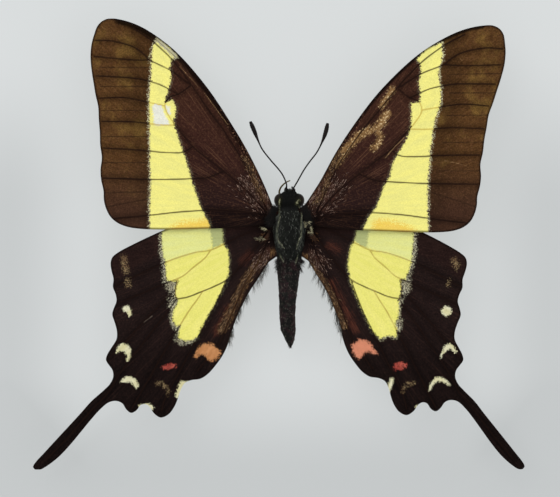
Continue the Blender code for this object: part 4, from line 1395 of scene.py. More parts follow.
class BodyForm:
    """The smooth surface of head, thorax and abdomen, from the stations of the solids."""

    front = 8.36
    rear = -15.42
    neck = 5.6
    waist = -2.05
    segments = 8.0

    def __init__(self) -> None:
        """Read the stations from rear to front."""
        self.table = np.array(BODY_STATIONS)[::-1]

    def section(self, y: np.ndarray) -> tuple:
        """Return sway, half width, top and bottom, eased over the stations' corners."""
        shifts = (-0.3, -0.15, 0.0, 0.15, 0.3)
        near = np.minimum(1.0, np.minimum(self.front - y, y - self.rear) / 0.3)
        near = np.clip(near, 0.0, 1.0)
        found = []
        for column in range(1, 5):
            values = [np.interp(y + s * near, self.table[:, 0], self.table[:, column])
                      for s in shifts]
            found.append(np.mean(values, axis=0))
        return tuple(found)

    def surface(self, y: np.ndarray, angle: np.ndarray, sink: float = 0.0) -> np.ndarray:
        """Return points of the surface.

        Args:
            y: places along the body.
            angle: angles round it, 0 to the right and a quarter turn up.
            sink: how far under the skin.

        Returns:
            Rows of X, Y and Z.
        """
        sway, half_width, top, bottom = self.section(y)
        depth = sink + self.ring_groove(y) + np.interp(
            y, (self.waist - 1.5, self.waist), (0.5 * SKIN_DEPTH, SKIN_DEPTH))
        half_height = np.maximum(0.015, (top - bottom) / 2.0 - depth)
        half_width = np.maximum(0.015, half_width - depth)
        power = 2.0 / BODY_SQUARENESS
        across = np.sign(np.cos(angle)) * np.abs(np.cos(angle)) ** power
        up = np.sign(np.sin(angle)) * np.abs(np.sin(angle)) ** power
        middle = (top + bottom) / 2.0
        return np.column_stack((MIDLINE + sway + half_width * across, y,
                                middle + half_height * up))

    def ring_groove(self, y: np.ndarray) -> np.ndarray:
        """Return how far the abdomen is drawn in where its segments meet."""
        return np.where(y < self.waist + 0.2, 0.035 * self.near_ring(y, 0.10), 0.0)

    def near_ring(self, y: np.ndarray, width: float) -> np.ndarray:
        """Return how near places are to a meeting of the abdomen's segments, 0 to 1."""
        length = (self.waist - self.rear) / self.segments
        share = ((self.waist - y) / length) % 1.0
        return np.exp(-(np.minimum(share, 1.0 - share) / width) ** 2)

    def normal(self, y: np.ndarray, angle: np.ndarray) -> np.ndarray:
        """Return the directions straight out of the surface."""
        along = self.surface(y + 0.05, angle) - self.surface(y - 0.05, angle)
        around = self.surface(y, angle + 0.05) - self.surface(y, angle - 0.05)
        return unit(np.cross(along, around))

    def pale(self, points: np.ndarray) -> np.ndarray:
        """Return how pale the stripes along the body's sides make it at points, 0 to 1."""
        found = np.zeros(len(points))
        for side, marks in MARKINGS.items():
            line = smooth_line([(MIDLINE + side.value * out, y) for out, y in marks.stripe], 0.4)
            away, _ = nearest_on_line(points[:, :2], line)
            strength = np.interp(points[:, 1], (-0.4, 0.5, 4.0, 5.4, 6.4), (0, 0.45, 0.36, 0.5, 0.5))
            found = np.maximum(found, strength * np.exp(-(away / 0.16) ** 2))
            for fur in marks.eye_fur:
                spot = np.array([(MIDLINE + side.value * out, y) for out, y in fur])
                away, _ = nearest_on_line(points[:, :2], spot)
                spot = np.maximum(np.exp(-(away / 0.14) ** 2), 0.2 * np.exp(-(away / 0.27) ** 2))
                found = np.maximum(found, spot)
        found = np.where(points[:, 2] > 5.6, found, 0.0)
        patchy = np.clip(np.sin(points[:, 0] * 7.0 + points[:, 1] * 3.1), 0.0, 1.0)
        ring = 0.26 * patchy * self.near_ring(points[:, 1], 0.06)
        return np.where(points[:, 1] < self.waist - 1.0, ring, found)

    def build(self, finish: bpy.types.Material) -> bpy.types.Object:
        """Build the one skin of head, thorax and abdomen.

        Args:
            finish: the skin's material.

        Returns:
            The body's piece.
        """
        shape = bmesh.new()
        bmesh.ops.create_uvsphere(shape, u_segments=72, v_segments=300, radius=1.0)
        mesh = mesh_from(shape, "skin_body", 80.0)
        ball = read_points(mesh)
        share = np.arccos(np.clip(ball[:, 2], -1.0, 1.0)) / math.pi
        y = self.front + (self.rear - self.front) * share
        angle = np.arctan2(ball[:, 1], ball[:, 0])
        points = self.surface(y, -angle)
        pole = (share < 1e-4) | (share > 1.0 - 1e-4)
        sway, _, top, bottom = self.section(y)
        points[pole, 0] = MIDLINE + sway[pole]
        points[pole, 2] = ((top + bottom) / 2.0)[pole]
        mesh.vertices.foreach_set("co", points.astype(np.float32).ravel())
        shape = bmesh.new()
        shape.from_mesh(mesh)
        bpy.data.meshes.remove(mesh)
        mesh = mesh_from(shape, "skin_body", 80.0)
        points = read_points(mesh)
        write_field(mesh, "pale", self.pale(points))
        piece = new_object("skin_body", mesh, finish)
        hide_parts("head", "thorax", "abdomen")
        return piece

    def unwrapped(self, y: np.ndarray, angle: np.ndarray) -> np.ndarray:
        """Return places on an unwrap of the body: round it and along it."""
        around = (angle / (2.0 * math.pi)) % 1.0
        along = (self.front - y) / (self.front - self.rear)
        return np.column_stack((around, along))


@dataclass
class Coat:
    """Many thin tufts of hair or scales joined as one piece."""

    name: str
    roots: np.ndarray
    along: np.ndarray
    out: np.ndarray
    length: np.ndarray
    width: np.ndarray
    unwrap: np.ndarray
    pale: np.ndarray
    lift: np.ndarray
    sag: float = 0.5
    flat: float = 0.45
    seed: int = 1
    rings: tuple = (0.0, 0.3, 0.65, 1.0)
    radii: tuple = (0.5, 0.46, 0.3, 0.05)

    def build(self, finish: bpy.types.Material, slot: str) -> bpy.types.Object:
        """Copy one tapered four-sided hair to every root.

        Args:
            finish: the coat's material.
            slot: the record's material slot; not used.

        Returns:
            The coat's piece.
        """
        route = np.array([(share, 0.0, 0.0) for share in self.rings])
        pattern = mesh_from(sweep(route, self.radii, 4, self.flat), "hair")
        hair = read_points(pattern)
        faces = np.array([face.vertices[:] for face in pattern.polygons])
        bpy.data.meshes.remove(pattern)
        share = hair[:, 0]
        bend = self.lift[:, None] * share - self.sag * self.lift[:, None] * share ** 2
        side = np.cross(self.along, self.out)
        points = (self.roots[:, None, :]
                  + self.along[:, None, :] * (share * self.length[:, None])[..., None]
                  + side[:, None, :] * (hair[:, 1] * self.width[:, None])[..., None]
                  + self.out[:, None, :]
                  * (hair[:, 2] * self.width[:, None] + bend * self.length[:, None])[..., None])
        count = len(self.roots)
        whole = (faces[None] + (np.arange(count) * len(hair))[:, None, None]).reshape(-1, 4)
        mesh = bpy.data.meshes.new(self.name)
        mesh.from_pydata(points.reshape(-1, 3).tolist(), [], whole.tolist())
        mesh.shade_smooth()
        draw = np.random.default_rng(self.seed)
        write_field(mesh, "tone", np.repeat(draw.random(count), len(hair)))
        write_field(mesh, "tip", np.tile(share, count))
        write_field(mesh, "pale", np.repeat(self.pale, len(hair)))
        patch = mesh.uv_layers.new(name="OFBake")
        corner = np.column_stack((share - 0.5, hair[:, 1])) * 0.003
        spots = (self.unwrap[:, None, :] + corner[None]).reshape(-1, 2)
        patch.data.foreach_set("uv", spots[whole.ravel()].astype(np.float32).ravel())
        piece = new_object(self.name, mesh, finish)
        return piece


@dataclass
class BodyHair:
    """The hair of one stretch of the body."""

    name: str
    span: tuple
    count: int
    length: tuple
    width: float
    lift: tuple
    seed: int
    slot: str
    forward: float = 0.0
    spread: float = 0.35

    def build(self, form: BodyForm, finish: bpy.types.Material) -> bpy.types.Object:
        """Grow the hair on the body's skin.

        Args:
            form: the body's surface.
            finish: the hair's material.

        Returns:
            The coat's piece.
        """
        draw = np.random.default_rng(self.seed)
        front, rear = self.span
        y = rear + (front - rear) * draw.random(self.count * 2)
        _, half_width, top, bottom = form.section(y)
        girth = half_width + (top - bottom) / 2.0
        y = y[draw.random(len(y)) < girth / girth.max()][:self.count]
        angle = draw.random(len(y)) * 2.0 * math.pi
        out = form.normal(y, angle)
        roots = form.surface(y, angle, 0.03)
        ahead = np.interp(y, (self.neck_edge(form) - 0.4, self.neck_edge(form) + 1.6), (0.0, 1.0))
        ahead = ahead * self.forward
        wanted = np.column_stack((draw.normal(0.0, self.spread, len(y)), -1.0 + 2.0 * ahead,
                                  draw.normal(0.0, self.spread, len(y)) - 0.1))
        along = laid_flat(wanted, out)
        length = draw.uniform(*self.length, len(y))
        lift = draw.uniform(*self.lift, len(y))
        width = self.width * draw.uniform(0.7, 1.25, len(y))
        pale = form.pale(roots)
        coat = Coat(self.name, roots, along, out, length, width, form.unwrapped(y, angle), pale,
                    lift, seed=self.seed)
        return coat.build(finish, self.slot)

    @staticmethod
    def neck_edge(form: BodyForm) -> float:
        """Return where the head's hair turns to lie forwards."""
        return form.neck + 0.9


BODY_COATS = (
    BodyHair("coat_waist", span=(-1.5, -3.7), count=420, length=(0.6, 1.15), width=0.045,
             lift=(0.45, 0.95), seed=14, slot="abdomen"),
    BodyHair("coat_head", span=(8.3, 5.7), count=2800, length=(0.28, 0.55), width=0.075,
             lift=(0.25, 0.6), seed=11, slot="head", forward=0.9),
    BodyHair("coat_thorax", span=(5.9, -2.2), count=9600, length=(0.45, 0.95), width=0.085,
             lift=(0.14, 0.40), seed=12, slot="thorax"),
    BodyHair("coat_abdomen", span=(-1.6, -15.3), count=8000, length=(0.3, 0.65), width=0.08,
             lift=(0.08, 0.26), seed=13, slot="abdomen"),
)


@dataclass
class BrowFur:
    """The fur on top of the head that also covers the inner part of both eyes."""

    name: str
    count: int
    seed: int
    reach: float = 1.62
    span: tuple = (7.95, 5.35)

    @staticmethod
    def height(form: BodyForm, out: np.ndarray, y: np.ndarray) -> np.ndarray:
        """Return the top of the head or of the eye, whichever is higher, in plan places."""
        sway, half_width, top, bottom = form.section(y)
        middle = (top + bottom) / 2.0
        share = np.clip(np.abs(out - sway) / (half_width - SKIN_DEPTH), 0.0, 1.0)
        rise = (1.0 - share ** BODY_SQUARENESS) ** (1.0 / BODY_SQUARENESS)
        head = middle + (top - middle - SKIN_DEPTH) * rise
        place_out, place_y, place_z = EYE_PLACE
        half_out, half_y, half_z = EYE_HALF_SIZES
        left = 1.0 - ((np.abs(out) - place_out) / half_out) ** 2 - ((y - place_y) / half_y) ** 2
        eye = place_z + half_z * np.sqrt(np.maximum(0.0, left))
        return np.where(left > 0.0, np.maximum(head, eye), head)

    def build(self, form: BodyForm, finish: bpy.types.Material) -> bpy.types.Object:
        """Grow the fur.

        Args:
            form: the body's surface.
            finish: the fur's material.

        Returns:
            The coat's piece.
        """
        draw = np.random.default_rng(self.seed)
        front, rear = self.span
        y = rear + (front - rear) * draw.random(self.count * 2)
        edge = np.interp(y, (5.35, 6.0, 6.9, 7.5, 7.95), (1.75, self.reach, self.reach, 1.25, 0.7))
        out = draw.uniform(-1.0, 1.0, len(y)) * edge
        out, y = out[:self.count], y[:self.count]
        roots = np.column_stack((MIDLINE + out, y, self.height(form, out, y) - 0.02))
        step = 0.05
        slope_out = (self.height(form, out + step, y) - self.height(form, out - step, y)) / (2 * step)
        slope_y = (self.height(form, out, y + step) - self.height(form, out, y - step)) / (2 * step)
        slope_out = np.clip(slope_out, -1.2, 1.2)
        slope_y = np.clip(slope_y, -1.2, 1.2)
        up = unit(np.column_stack((-slope_out, -slope_y, np.ones(self.count))))
        ahead = np.interp(y, (6.9, 7.7), (0.0, 1.0))
        wanted = np.column_stack((out * 0.18 + draw.normal(0.0, 0.25, self.count),
                                  -1.0 + 2.0 * ahead, np.zeros(self.count)))
        along = laid_flat(wanted, up)
        coat = Coat(self.name, roots, along, up, draw.uniform(0.25, 0.5, self.count),
                    0.062 * draw.uniform(0.7, 1.2, self.count),
                    crown_unwrap(out, y),
                    form.pale(roots) * np.where(draw.random(self.count) < 0.65, 1.0, 0.2),
                    draw.uniform(0.15, 0.4, self.count), seed=self.seed)
        return coat.build(finish, "head")


@dataclass
class StripeFur:
    """Thin lines of pale hair that lie along the body's sides."""

    name: str
    side: Side
    lines: tuple
    seed: int
    spacing: float = 0.028
    height: float = 0.15
    look: float = 0.3

    def build(self, form: BodyForm, finish: bpy.types.Material) -> bpy.types.Object:
        """Grow the hair along its lines.

        Args:
            form: the body's surface.
            finish: the hair's material.

        Returns:
            The coat's piece.
        """
        draw = np.random.default_rng(self.seed)
        routes = [smooth_line(line, self.spacing) for line in self.lines]
        plan = np.vstack(routes)
        way = np.vstack([unit(np.gradient(route, axis=0)) for route in routes])
        count = len(plan)
        plan = plan + draw.normal(0.0, 0.055, plan.shape)
        out = plan[:, 0] * self.side.value
        top = BrowFur.height(form, out, plan[:, 1])
        ahead = BrowFur.height(form, out + way[:, 0] * self.side.value * self.look,
                               plan[:, 1] + way[:, 1] * self.look)
        slope = np.clip((ahead - top) / self.look, -1.0, 1.0)
        height = self.height + np.interp(plan[:, 1], (3.6, 5.0), (0.0, 0.17))
        height = height + np.interp(out, (1.6, 1.85), (0.0, 0.2))
        roots = np.column_stack((MIDLINE + out, plan[:, 1], top + height))
        along = unit(np.column_stack((way[:, 0] * self.side.value, way[:, 1], slope)))
        up = laid_flat(np.tile((0.0, 0.0, 1.0), (count, 1)), along)
        coat = Coat(self.name, roots, along, up, draw.uniform(0.35, 0.7, count),
                    0.052 * draw.uniform(0.7, 1.2, count),
                    crown_unwrap(out, plan[:, 1]),
                    np.zeros(count), draw.uniform(0.02, 0.15, count), seed=self.seed)
        return coat.build(finish, "thorax")


@dataclass
class WingHair:
    """Hair that lies on a wing or hangs from its edge, in wisps along a line."""

    name: str
    wing: Wing
    line: tuple
    count: int
    length: tuple
    width: float
    heading: tuple
    scatter: float
    lift: tuple
    seed: int
    wisps: int
    seen: bool = True
    pale: float = 0.0
    height: float = 0.0
    stray: float = 0.25
    fan: bool = False
    kept: bool = False
    clear_of_body: float = 2.75

    def build(self, finish: bpy.types.Material) -> bpy.types.Object:
        """Grow the hair.

        Args:
            finish: the hair's material.

        Returns:
            The coat's piece.
        """
        draw = np.random.default_rng(self.seed)
        place = self.wing.seen if self.seen else self.wing.spread
        route = smooth_line(place(self.line), 0.1)
        wisp = draw.integers(0, self.wisps, self.count)
        centre = draw.random(self.wisps)[wisp] + draw.normal(0.0, 0.010, self.count)
        spot = np.clip(centre, 0.0, 1.0) * (len(route) - 1)
        low = np.minimum(spot.astype(int), len(route) - 2)
        part = (spot - low)[:, None]
        plan = route[low] * (1.0 - part) + route[low + 1] * part
        plan = plan + draw.normal(0.0, self.scatter, plan.shape)
        height = self.wing.lift + blade_height(*plan.T) + self.height
        roots = np.column_stack((plan, height))
        turn = draw.normal(0.0, self.stray, self.wisps)[wisp] + draw.normal(0.0, 0.12, self.count)
        if self.fan:
            away = plan - self.wing.seen(self.heading)
            base = np.arctan2(away[:, 1], away[:, 0])
        else:
            out, forward = self.heading
            base = math.atan2(forward, out * self.wing.side.value)
        angle = base + turn
        along = np.column_stack((np.cos(angle), np.sin(angle), np.zeros(self.count)))
        up = np.tile((0.0, 0.0, 1.0), (self.count, 1))
        length = draw.uniform(*self.length, self.wisps)[wisp] * draw.uniform(0.7, 1.0, self.count)
        width = np.full(self.count, self.width) * draw.uniform(0.7, 1.2, self.count)
        lift = draw.uniform(*self.lift, self.count)
        unwrap = (plan + 40.0) / 80.0
        on = np.ones(self.count, bool)
        if self.kept:
            edge = self.wing.outline()
            tips = plan + along[:, :2] * length[:, None]
            on = (depth_inside(plan, edge) > 0.08) & (depth_inside(tips, edge) > 0.12)
            on &= np.abs(plan[:, 0] - MIDLINE) > self.clear_of_body
        coat = Coat(self.name, roots[on], along[on], up[on], length[on], width[on], unwrap[on],
                    np.full(int(on.sum()), self.pale), lift[on], seed=self.seed)
        return coat.build(finish, self.wing.layer.value)


# Where hair grows next to the wings' roots, and the places from which it fans out
COPPER_FORE = ((3.1, 5.4), (4.3, 7.0), (6.5, 9.3))
COPPER_HIND = ((2.6, -0.6), (3.6, -1.6), (4.8, -3.0))
TAWNY_HIND = ((2.9, 1.8), (3.3, 1.4), (3.8, 1.0))
WAIST_LINE = ((1.72, -1.9), (1.68, -2.7), (1.6, -3.5))
ROOT_LINE = ((2.0, 5.75), (2.3, 5.1), (2.55, 4.3), (2.65, 3.3))
FORE_FAN = (1.9, 2.6)
HIND_FAN = (1.0, 2.2)


@dataclass(frozen=True)
class HairFinish:
    """Hair or skin of the body: near black, greyer at the tips, olive in the stripes."""

    name: str
    root: str = "0e0e0c"
    tip: str = "45483f"
    marked: str = "a8a67e"
    gleam: str = "83857a"
    striped: str = "8b8f82"
    blotch: str = "1e211c"
    bright_from: float = 0.90
    rough: float = 0.6

    def hair(self) -> bpy.types.Material:
        """Build the material of tufts, which carry tone, tip and pale.

        Returns:
            The material.
        """
        recipe = Surface(self.name, 0.12)
        tone = recipe.read("tone")
        tip = recipe.ease(recipe.read("tip"), 0.1, 1.0)
        pale = recipe.read("pale")
        grey = recipe.maths("MULTIPLY", tip, recipe.ease(tone, 0.15, 1.0, 0.15, 1.0))
        colour = recipe.blend(grey, dye(self.root), dye(self.tip))
        mottle = recipe.ease(recipe.noise(recipe.place(), 900.0, 3.0), 0.45, 0.62, 0.0, 0.7)
        colour = recipe.blend(mottle, colour, dye(self.blotch))
        end = recipe.ease(recipe.read("tip"), 0.40, 0.85)
        few = recipe.maths("MULTIPLY", end, recipe.ease(tone, self.bright_from,
                                                      self.bright_from + 0.06))
        colour = recipe.blend(few, colour, dye(self.gleam))
        shine = recipe.maths("MULTIPLY", pale, recipe.ease(tone, 0.0, 0.8, 0.35, 1.0))
        marked = recipe.blend(recipe.ease(pale, 0.5, 0.9), dye(self.striped), dye(self.marked))
        colour = recipe.blend(shine, colour, marked)
        recipe.put("Base Color", colour)
        recipe.put("Roughness", recipe.ease(tone, 0.0, 1.0, self.rough - 0.1, self.rough + 0.15))
        return recipe.made

    def skin(self) -> bpy.types.Material:
        """Build the material of the skin under the hair.

        Returns:
            The material.
        """
        recipe = Surface(f"{self.name}_skin", 0.10)
        lay = recipe.noise(recipe.place((9.0, 1.6, 9.0)), 1000.0, 3.0)
        mottle = recipe.noise(recipe.place(), 900.0, 3.0)
        colour = recipe.blend(recipe.ease(lay, 0.35, 0.75), dye(self.root), dye(self.tip))
        colour = recipe.blend(recipe.ease(mottle, 0.3, 0.8, 0.0, 0.6), colour, dye(self.root))
        colour = recipe.blend(recipe.maths("MULTIPLY", recipe.read("pale"), 0.8), colour,
                              dye(self.marked))
        recipe.put("Base Color", colour)
        recipe.put("Roughness", recipe.ease(lay, 0.2, 0.8, 0.5, 0.75))
        recipe.emboss(lay, 0.6, 0.06 * MM)
        return recipe.made


@dataclass(frozen=True)
class HornFinish:
    """Bare horny parts: legs, feelers and the tongue, ringed and slightly glossy."""

    name: str
    shade: str
    other: str
    rough: float
    grain: float = 2500.0

    def material(self) -> bpy.types.Material:
        """Build the material.

        Returns:
            The material.
        """
        recipe = Surface(self.name, 0.07)
        grain = recipe.noise(recipe.place(), self.grain, 4.0)
        fine = recipe.noise(recipe.place(), self.grain * 6.0, 2.0)
        colour = recipe.blend(recipe.ease(grain, 0.3, 0.7), dye(self.shade), dye(self.other))
        recipe.put("Base Color", colour)
        recipe.put("Roughness", recipe.ease(fine, 0.2, 0.8, self.rough - 0.08, self.rough + 0.14))
        recipe.emboss(fine, 0.5, 0.02 * MM)
        return recipe.made


@dataclass(frozen=True)
class EyeFinish:
    """A compound eye: dark brown, glossy, with fine facets."""

    name: str = "eye_facets"
    facets: float = 16000.0

    def material(self) -> bpy.types.Material:
        """Build the material.

        Returns:
            The material.
        """
        recipe = Surface(self.name, 0.10)
        cells = recipe.add("ShaderNodeTexVoronoi")
        recipe.feed(cells.inputs["Vector"], recipe.place())
        recipe.feed(cells.inputs["Scale"], self.facets)
        cells.inputs["Randomness"].default_value = 0.35
        cloud = recipe.noise(recipe.place(), 900.0, 3.0)
        colour = recipe.blend(recipe.ease(cloud, 0.3, 0.75), dye("110c08"), dye("2b1d12"))
        rim = recipe.ease(cells.outputs["Distance"], 0.35, 0.75, 0.0, 0.5)
        colour = recipe.blend(rim, colour, dye("080605"))
        recipe.put("Base Color", colour)
        recipe.put("Roughness", recipe.ease(cloud, 0.2, 0.8, 0.36, 0.48))
        recipe.put("Coat Weight", 0.02)
        recipe.emboss(cells.outputs["Distance"], 0.35, 0.015 * MM, invert=True)
        return recipe.made


@dataclass
class Eye:
    """One compound eye, sunk in the side of the head."""

    side: Side

    def build(self, finish: bpy.types.Material) -> bpy.types.Object:
        """Build the eye.

        Args:
            finish: the eye's material.

        Returns:
            The eye's piece.
        """
        name = f"eye_{self.side.word}"
        shape = bmesh.new()
        bmesh.ops.create_uvsphere(shape, u_segments=56, v_segments=36, radius=1.0)
        bmesh.ops.scale(shape, vec=EYE_HALF_SIZES, verts=shape.verts)
        out, y, z = EYE_PLACE
        bmesh.ops.translate(shape, vec=(MIDLINE + self.side.value * out, y, z),
                            verts=shape.verts)
        piece = new_object(f"facets_{name}", mesh_from(shape, name, 80.0), finish)
        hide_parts(name)
        return piece


@dataclass
class Stem:
    """A leg, feeler, palp or tongue: a tapering stem that leaves the body at its root."""

    name: str
    side: Side
    root: tuple
    route: tuple
    radii: tuple
    slot: str
    sides: int = 14
    step: float = 0.18
    rings: int = 0
    ring_depth: float = 0.08

    def line(self, form: BodyForm) -> np.ndarray:
        """Return the stem's middle line from under the skin to its tip."""
        y, degrees = self.root
        turned = math.radians(degrees if self.side is Side.RIGHT else 180.0 - degrees)
        where = (np.array([y]), np.array([turned]))
        start = form.surface(*where)[0]
        away = form.normal(*where)[0]
        points = [start - 0.25 * away, start + 0.45 * away]
        points += [np.array((MIDLINE + self.side.value * out, py, pz))
                   for out, py, pz in self.route]
        return smooth_line(points, self.step)

    @staticmethod
    def kept_above_floor(shape: bmesh.types.BMesh) -> bmesh.types.BMesh:
        """Flatten what would dip under the floor."""
        for vert in shape.verts:
            vert.co.z = max(0.0, vert.co.z)
        return shape

    def shape(self, form: BodyForm) -> bmesh.types.BMesh:
        """Return the stem, ringed where it has joints.

        Args:
            form: the body's surface.

        Returns:
            The stem's bmesh.
        """
        line = self.line(form)
        shares = np.linspace(0.0, 1.0, len(line))
        radii = np.interp(shares, np.linspace(0.0, 1.0, len(self.radii)), self.radii)
        if self.rings:
            wave = np.abs(np.sin(math.pi * self.rings * shares))
            radii = radii * (1.0 - self.ring_depth * (1.0 - wave) ** 2 * 2.0)
        return sweep(line, radii, self.sides)

    def build(self, form: BodyForm, finish: bpy.types.Material) -> bpy.types.Object:
        """Build the stem as its own piece."""
        shape = self.kept_above_floor(self.shape(form))
        piece = new_object(f"skin_{self.name}", mesh_from(shape, self.name, 70.0), finish)
        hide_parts(self.name)
        return piece


@dataclass
class Leg(Stem):
    """A leg with its claws."""

    def shape(self, form: BodyForm) -> bmesh.types.BMesh:
        """Return the leg and two claws at its tip."""
        leg = super().shape(form)
        line = self.line(form)
        tip = line[-1]
        ahead = unit((line[-1] - line[-4])[None])[0]
        aside = np.array((-ahead[1], ahead[0], 0.0))
        parts = [leg]
        for sign in (-1.0, 1.0):
            hook = [tip - 0.06 * ahead, tip + 0.14 * ahead + sign * 0.10 * aside,
                    tip + 0.24 * ahead + sign * 0.14 * aside + np.array((0.0, 0.0, -0.05))]
            hook[2][2] = max(0.02, hook[2][2])
            parts.append(sweep(smooth_line(hook, 0.05), (0.045, 0.035, 0.008), 6))
        return joined(parts)


# Routes of the limbs, out from the midline, forward and up, and their radii from root to tip
ANTENNA_ROUTES = {
    Side.LEFT: ((0.42, 9.1, 8.0), (0.64, 9.75, 8.15), (1.01, 10.5, 8.3), (1.54, 11.25, 8.4),
                (2.92, 12.84, 8.6), (4.1, 14.4, 8.75), (4.7, 15.7, 8.85), (5.18, 16.9, 8.9),
                (5.83, 18.45, 8.95)),
    Side.RIGHT: ((0.86, 8.9, 7.95), (1.16, 9.4, 8.1), (1.61, 10.2, 8.25), (2.21, 11.25, 8.4),
                 (3.07, 12.48, 8.6), (4.15, 13.9, 8.75), (4.99, 15.6, 8.85), (5.45, 16.9, 8.9),
                 (5.74, 18.2, 8.95)),
}
LEG_ROOTS = {"fore": (4.3, -66.0), "mid": (2.2, -66.0), "hind": (0.3, -66.0)}
LEG_ROUTES = {
    "fore": ((2.2, 5.0, 3.4), (3.6, 5.4, 4.4), (4.4, 5.6, 3.5), (5.2, 5.9, 1.3),
             (5.45, 6.0, 0.22), (6.1, 6.5, 0.18), (6.6, 6.9, 0.15)),
    "mid": ((2.4, 2.3, 2.9), (4.3, 2.2, 4.3), (5.2, 2.1, 3.4), (6.3, 1.9, 1.1),
            (6.75, 1.85, 0.17), (7.6, 1.95, 0.12), (8.2, 2.1, 0.10)),
    "hind": ((1.95, -0.7, 3.0), (3.3, -2.6, 4.4), (4.0, -3.4, 3.5), (4.9, -4.7, 1.1),
             (5.15, -5.2, 0.17), (5.6, -6.0, 0.12), (5.95, -6.6, 0.10)),
}


LEG_RADII = (0.30, 0.32, 0.26, 0.24, 0.20, 0.15, 0.14, 0.13, 0.12, 0.11, 0.10, 0.10, 0.09)
ANTENNA_ROOT = (8.0, 62.0)
ANTENNA_RADII = (0.16, 0.13) + (0.112,) * 13 + (0.14, 0.22, 0.31, 0.34, 0.33, 0.20)
PALP_ROOT = (7.95, -50.0)
PALP_ROUTE = ((0.5, 8.6, 5.15), (0.42, 8.74, 5.6), (0.38, 8.74, 6.05))
PALP_RADII = (0.15, 0.16, 0.15, 0.12, 0.05)
TONGUE_ROOT = (7.5, -84.0)
TONGUE_ROUTE = ((0.65, 7.15, 4.1), (1.15, 7.3, 4.15), (1.5, 7.9, 4.3), (1.32, 8.6, 4.6),
                (0.94, 9.08, 4.85), (0.49, 9.45, 5.0), (-0.15, 9.75, 5.1))
TONGUE_RADII = (0.17, 0.16, 0.15, 0.13, 0.08)


class Limbs:
    """The feelers, palps, tongue and legs."""

    def __init__(self, form: BodyForm) -> None:
        """Keep the body that the limbs grow from."""
        self.form = form
        self.horn = HornFinish("limb_horn", shade="0c0a09", other="1a1411", rough=0.42).material()
        self.tongue = HornFinish("tongue_horn", shade="453d28", other="6a5c3c", rough=0.45).material()

    def build(self) -> None:
        """Build every limb."""
        for side, route in ANTENNA_ROUTES.items():
            Stem(f"antenna_{side.word}", side, ANTENNA_ROOT, route, ANTENNA_RADII, "limb",
                 step=0.09, rings=34, ring_depth=0.05).build(self.form, self.horn)
        for side in Side:
            Stem(f"palp_{side.word}", side, PALP_ROOT, PALP_ROUTE, PALP_RADII,
                 "limb").build(self.form, self.horn)
        Stem("proboscis", Side.LEFT, TONGUE_ROOT, TONGUE_ROUTE, TONGUE_RADII, "proboscis",
             step=0.08, rings=40, ring_depth=0.04).build(self.form, self.tongue)
        for place, route in LEG_ROUTES.items():
            for side in Side:
                Leg(f"leg_{place}_{side.word}", side, LEG_ROOTS[place], route, LEG_RADII, "limb",
                    step=0.15).build(self.form, self.horn)


@dataclass
class Studio:
    """The pale floor, soft light and the camera straight above."""

    floor_half: float = 1.5
    camera_height: float = 0.3575
    camera_place: tuple = (0.26 * MM, -0.53 * MM)
    lens: float = 150.0
    floor_depth: float = 0.02 * MM
    floor_dye: float = 0.18
    bright: str = "d8dbdb"
    shaded: str = "c4c7c7"
    sky: tuple = (0.96, 0.98, 1.0, 1.0)
    sky_strength: float = 0.96
    lamps: tuple = (("key", (-0.35, 0.45, 0.75), 0.7, 3.1), ("fill", (0.55, -0.35, 0.6), 0.8, 1.1))

    def glow(self, text: str) -> tuple:
        """Return the light that brings the dim floor up to a colour as seen."""
        lit = [(part - self.floor_dye) * LIGHT_GAIN for part in dye(text)[:3]]
        return (*lit, 1.0)

    def build(self) -> None:
        """Make the floor, the lights and the camera."""
        self.floor()
        self.lights()
        self.camera()

    def floor(self) -> None:
        """Make the floor, which glows as painted light and is darker in painted shade towards its sides
        and rear.
        """
        shape = bmesh.new()
        bmesh.ops.create_grid(shape, x_segments=4, y_segments=4, size=self.floor_half)
        bmesh.ops.translate(shape, vec=(0.0, 0.0, -self.floor_depth), verts=shape.verts)
        mesh = mesh_from(shape, "floor")
        recipe = Surface("pale_floor", 0.0)
        place = recipe.place()
        forward = recipe.axis(place, "Y")
        # Painted shade: darker towards the sides, except at the +Y end, and towards the -Y end
        aside = recipe.ease(recipe.maths("ABSOLUTE", recipe.axis(place, "X")), 0.028, 0.042,
                            0.0, 0.9)
        level = recipe.ease(forward, 0.005, 0.030, 1.0, 0.0)
        low = recipe.ease(forward, -0.036, -0.018, 1.0, 0.0)
        dim = recipe.maths("ADD", recipe.maths("MULTIPLY", aside, level), low, clamp=True)
        # Painted light: the floor glows, so the insect casts only a faint shadow on it
        glow = recipe.blend(dim, self.glow(self.bright), self.glow(self.shaded))
        recipe.put("Emission Color", glow)
        recipe.put("Emission Strength", 1.0)
        recipe.put("Base Color", (self.floor_dye,) * 3 + (1.0,))
        recipe.put("Roughness", 0.9)
        mesh.materials.append(recipe.made)
        floor = bpy.data.objects.new("floor", mesh)
        bpy.context.scene.collection.objects.link(floor)

    def lights(self) -> None:
        """Make the even sky, a broad lamp at the front left and a weaker one behind it."""
        scene = bpy.context.scene
        world = bpy.data.worlds.new("studio")
        world.use_nodes = True
        back = world.node_tree.nodes["Background"]
        back.inputs["Color"].default_value = self.sky
        back.inputs["Strength"].default_value = self.sky_strength
        scene.world = world
        for name, place, size, power in self.lamps:
            lamp = bpy.data.lights.new(name, "AREA")
            lamp.shape = "SQUARE"
            lamp.size = size
            lamp.energy = power
            lit = bpy.data.objects.new(name, lamp)
            lit.location = place
            lit.rotation_euler = (-Vector(place)).to_track_quat("-Z", "Y").to_euler()
            scene.collection.objects.link(lit)

    def camera(self) -> None:
        """Make the camera straight above the insect."""
        scene = bpy.context.scene
        scene.view_settings.view_transform = "Standard"
        data = bpy.data.cameras.new("camera")
        data.lens = self.lens
        data.sensor_width = 36.0
        data.clip_start = 0.01
        camera = bpy.data.objects.new("camera", data)
        camera.location = (*self.camera_place, self.camera_height)
        scene.collection.objects.link(camera)
        scene.camera = camera


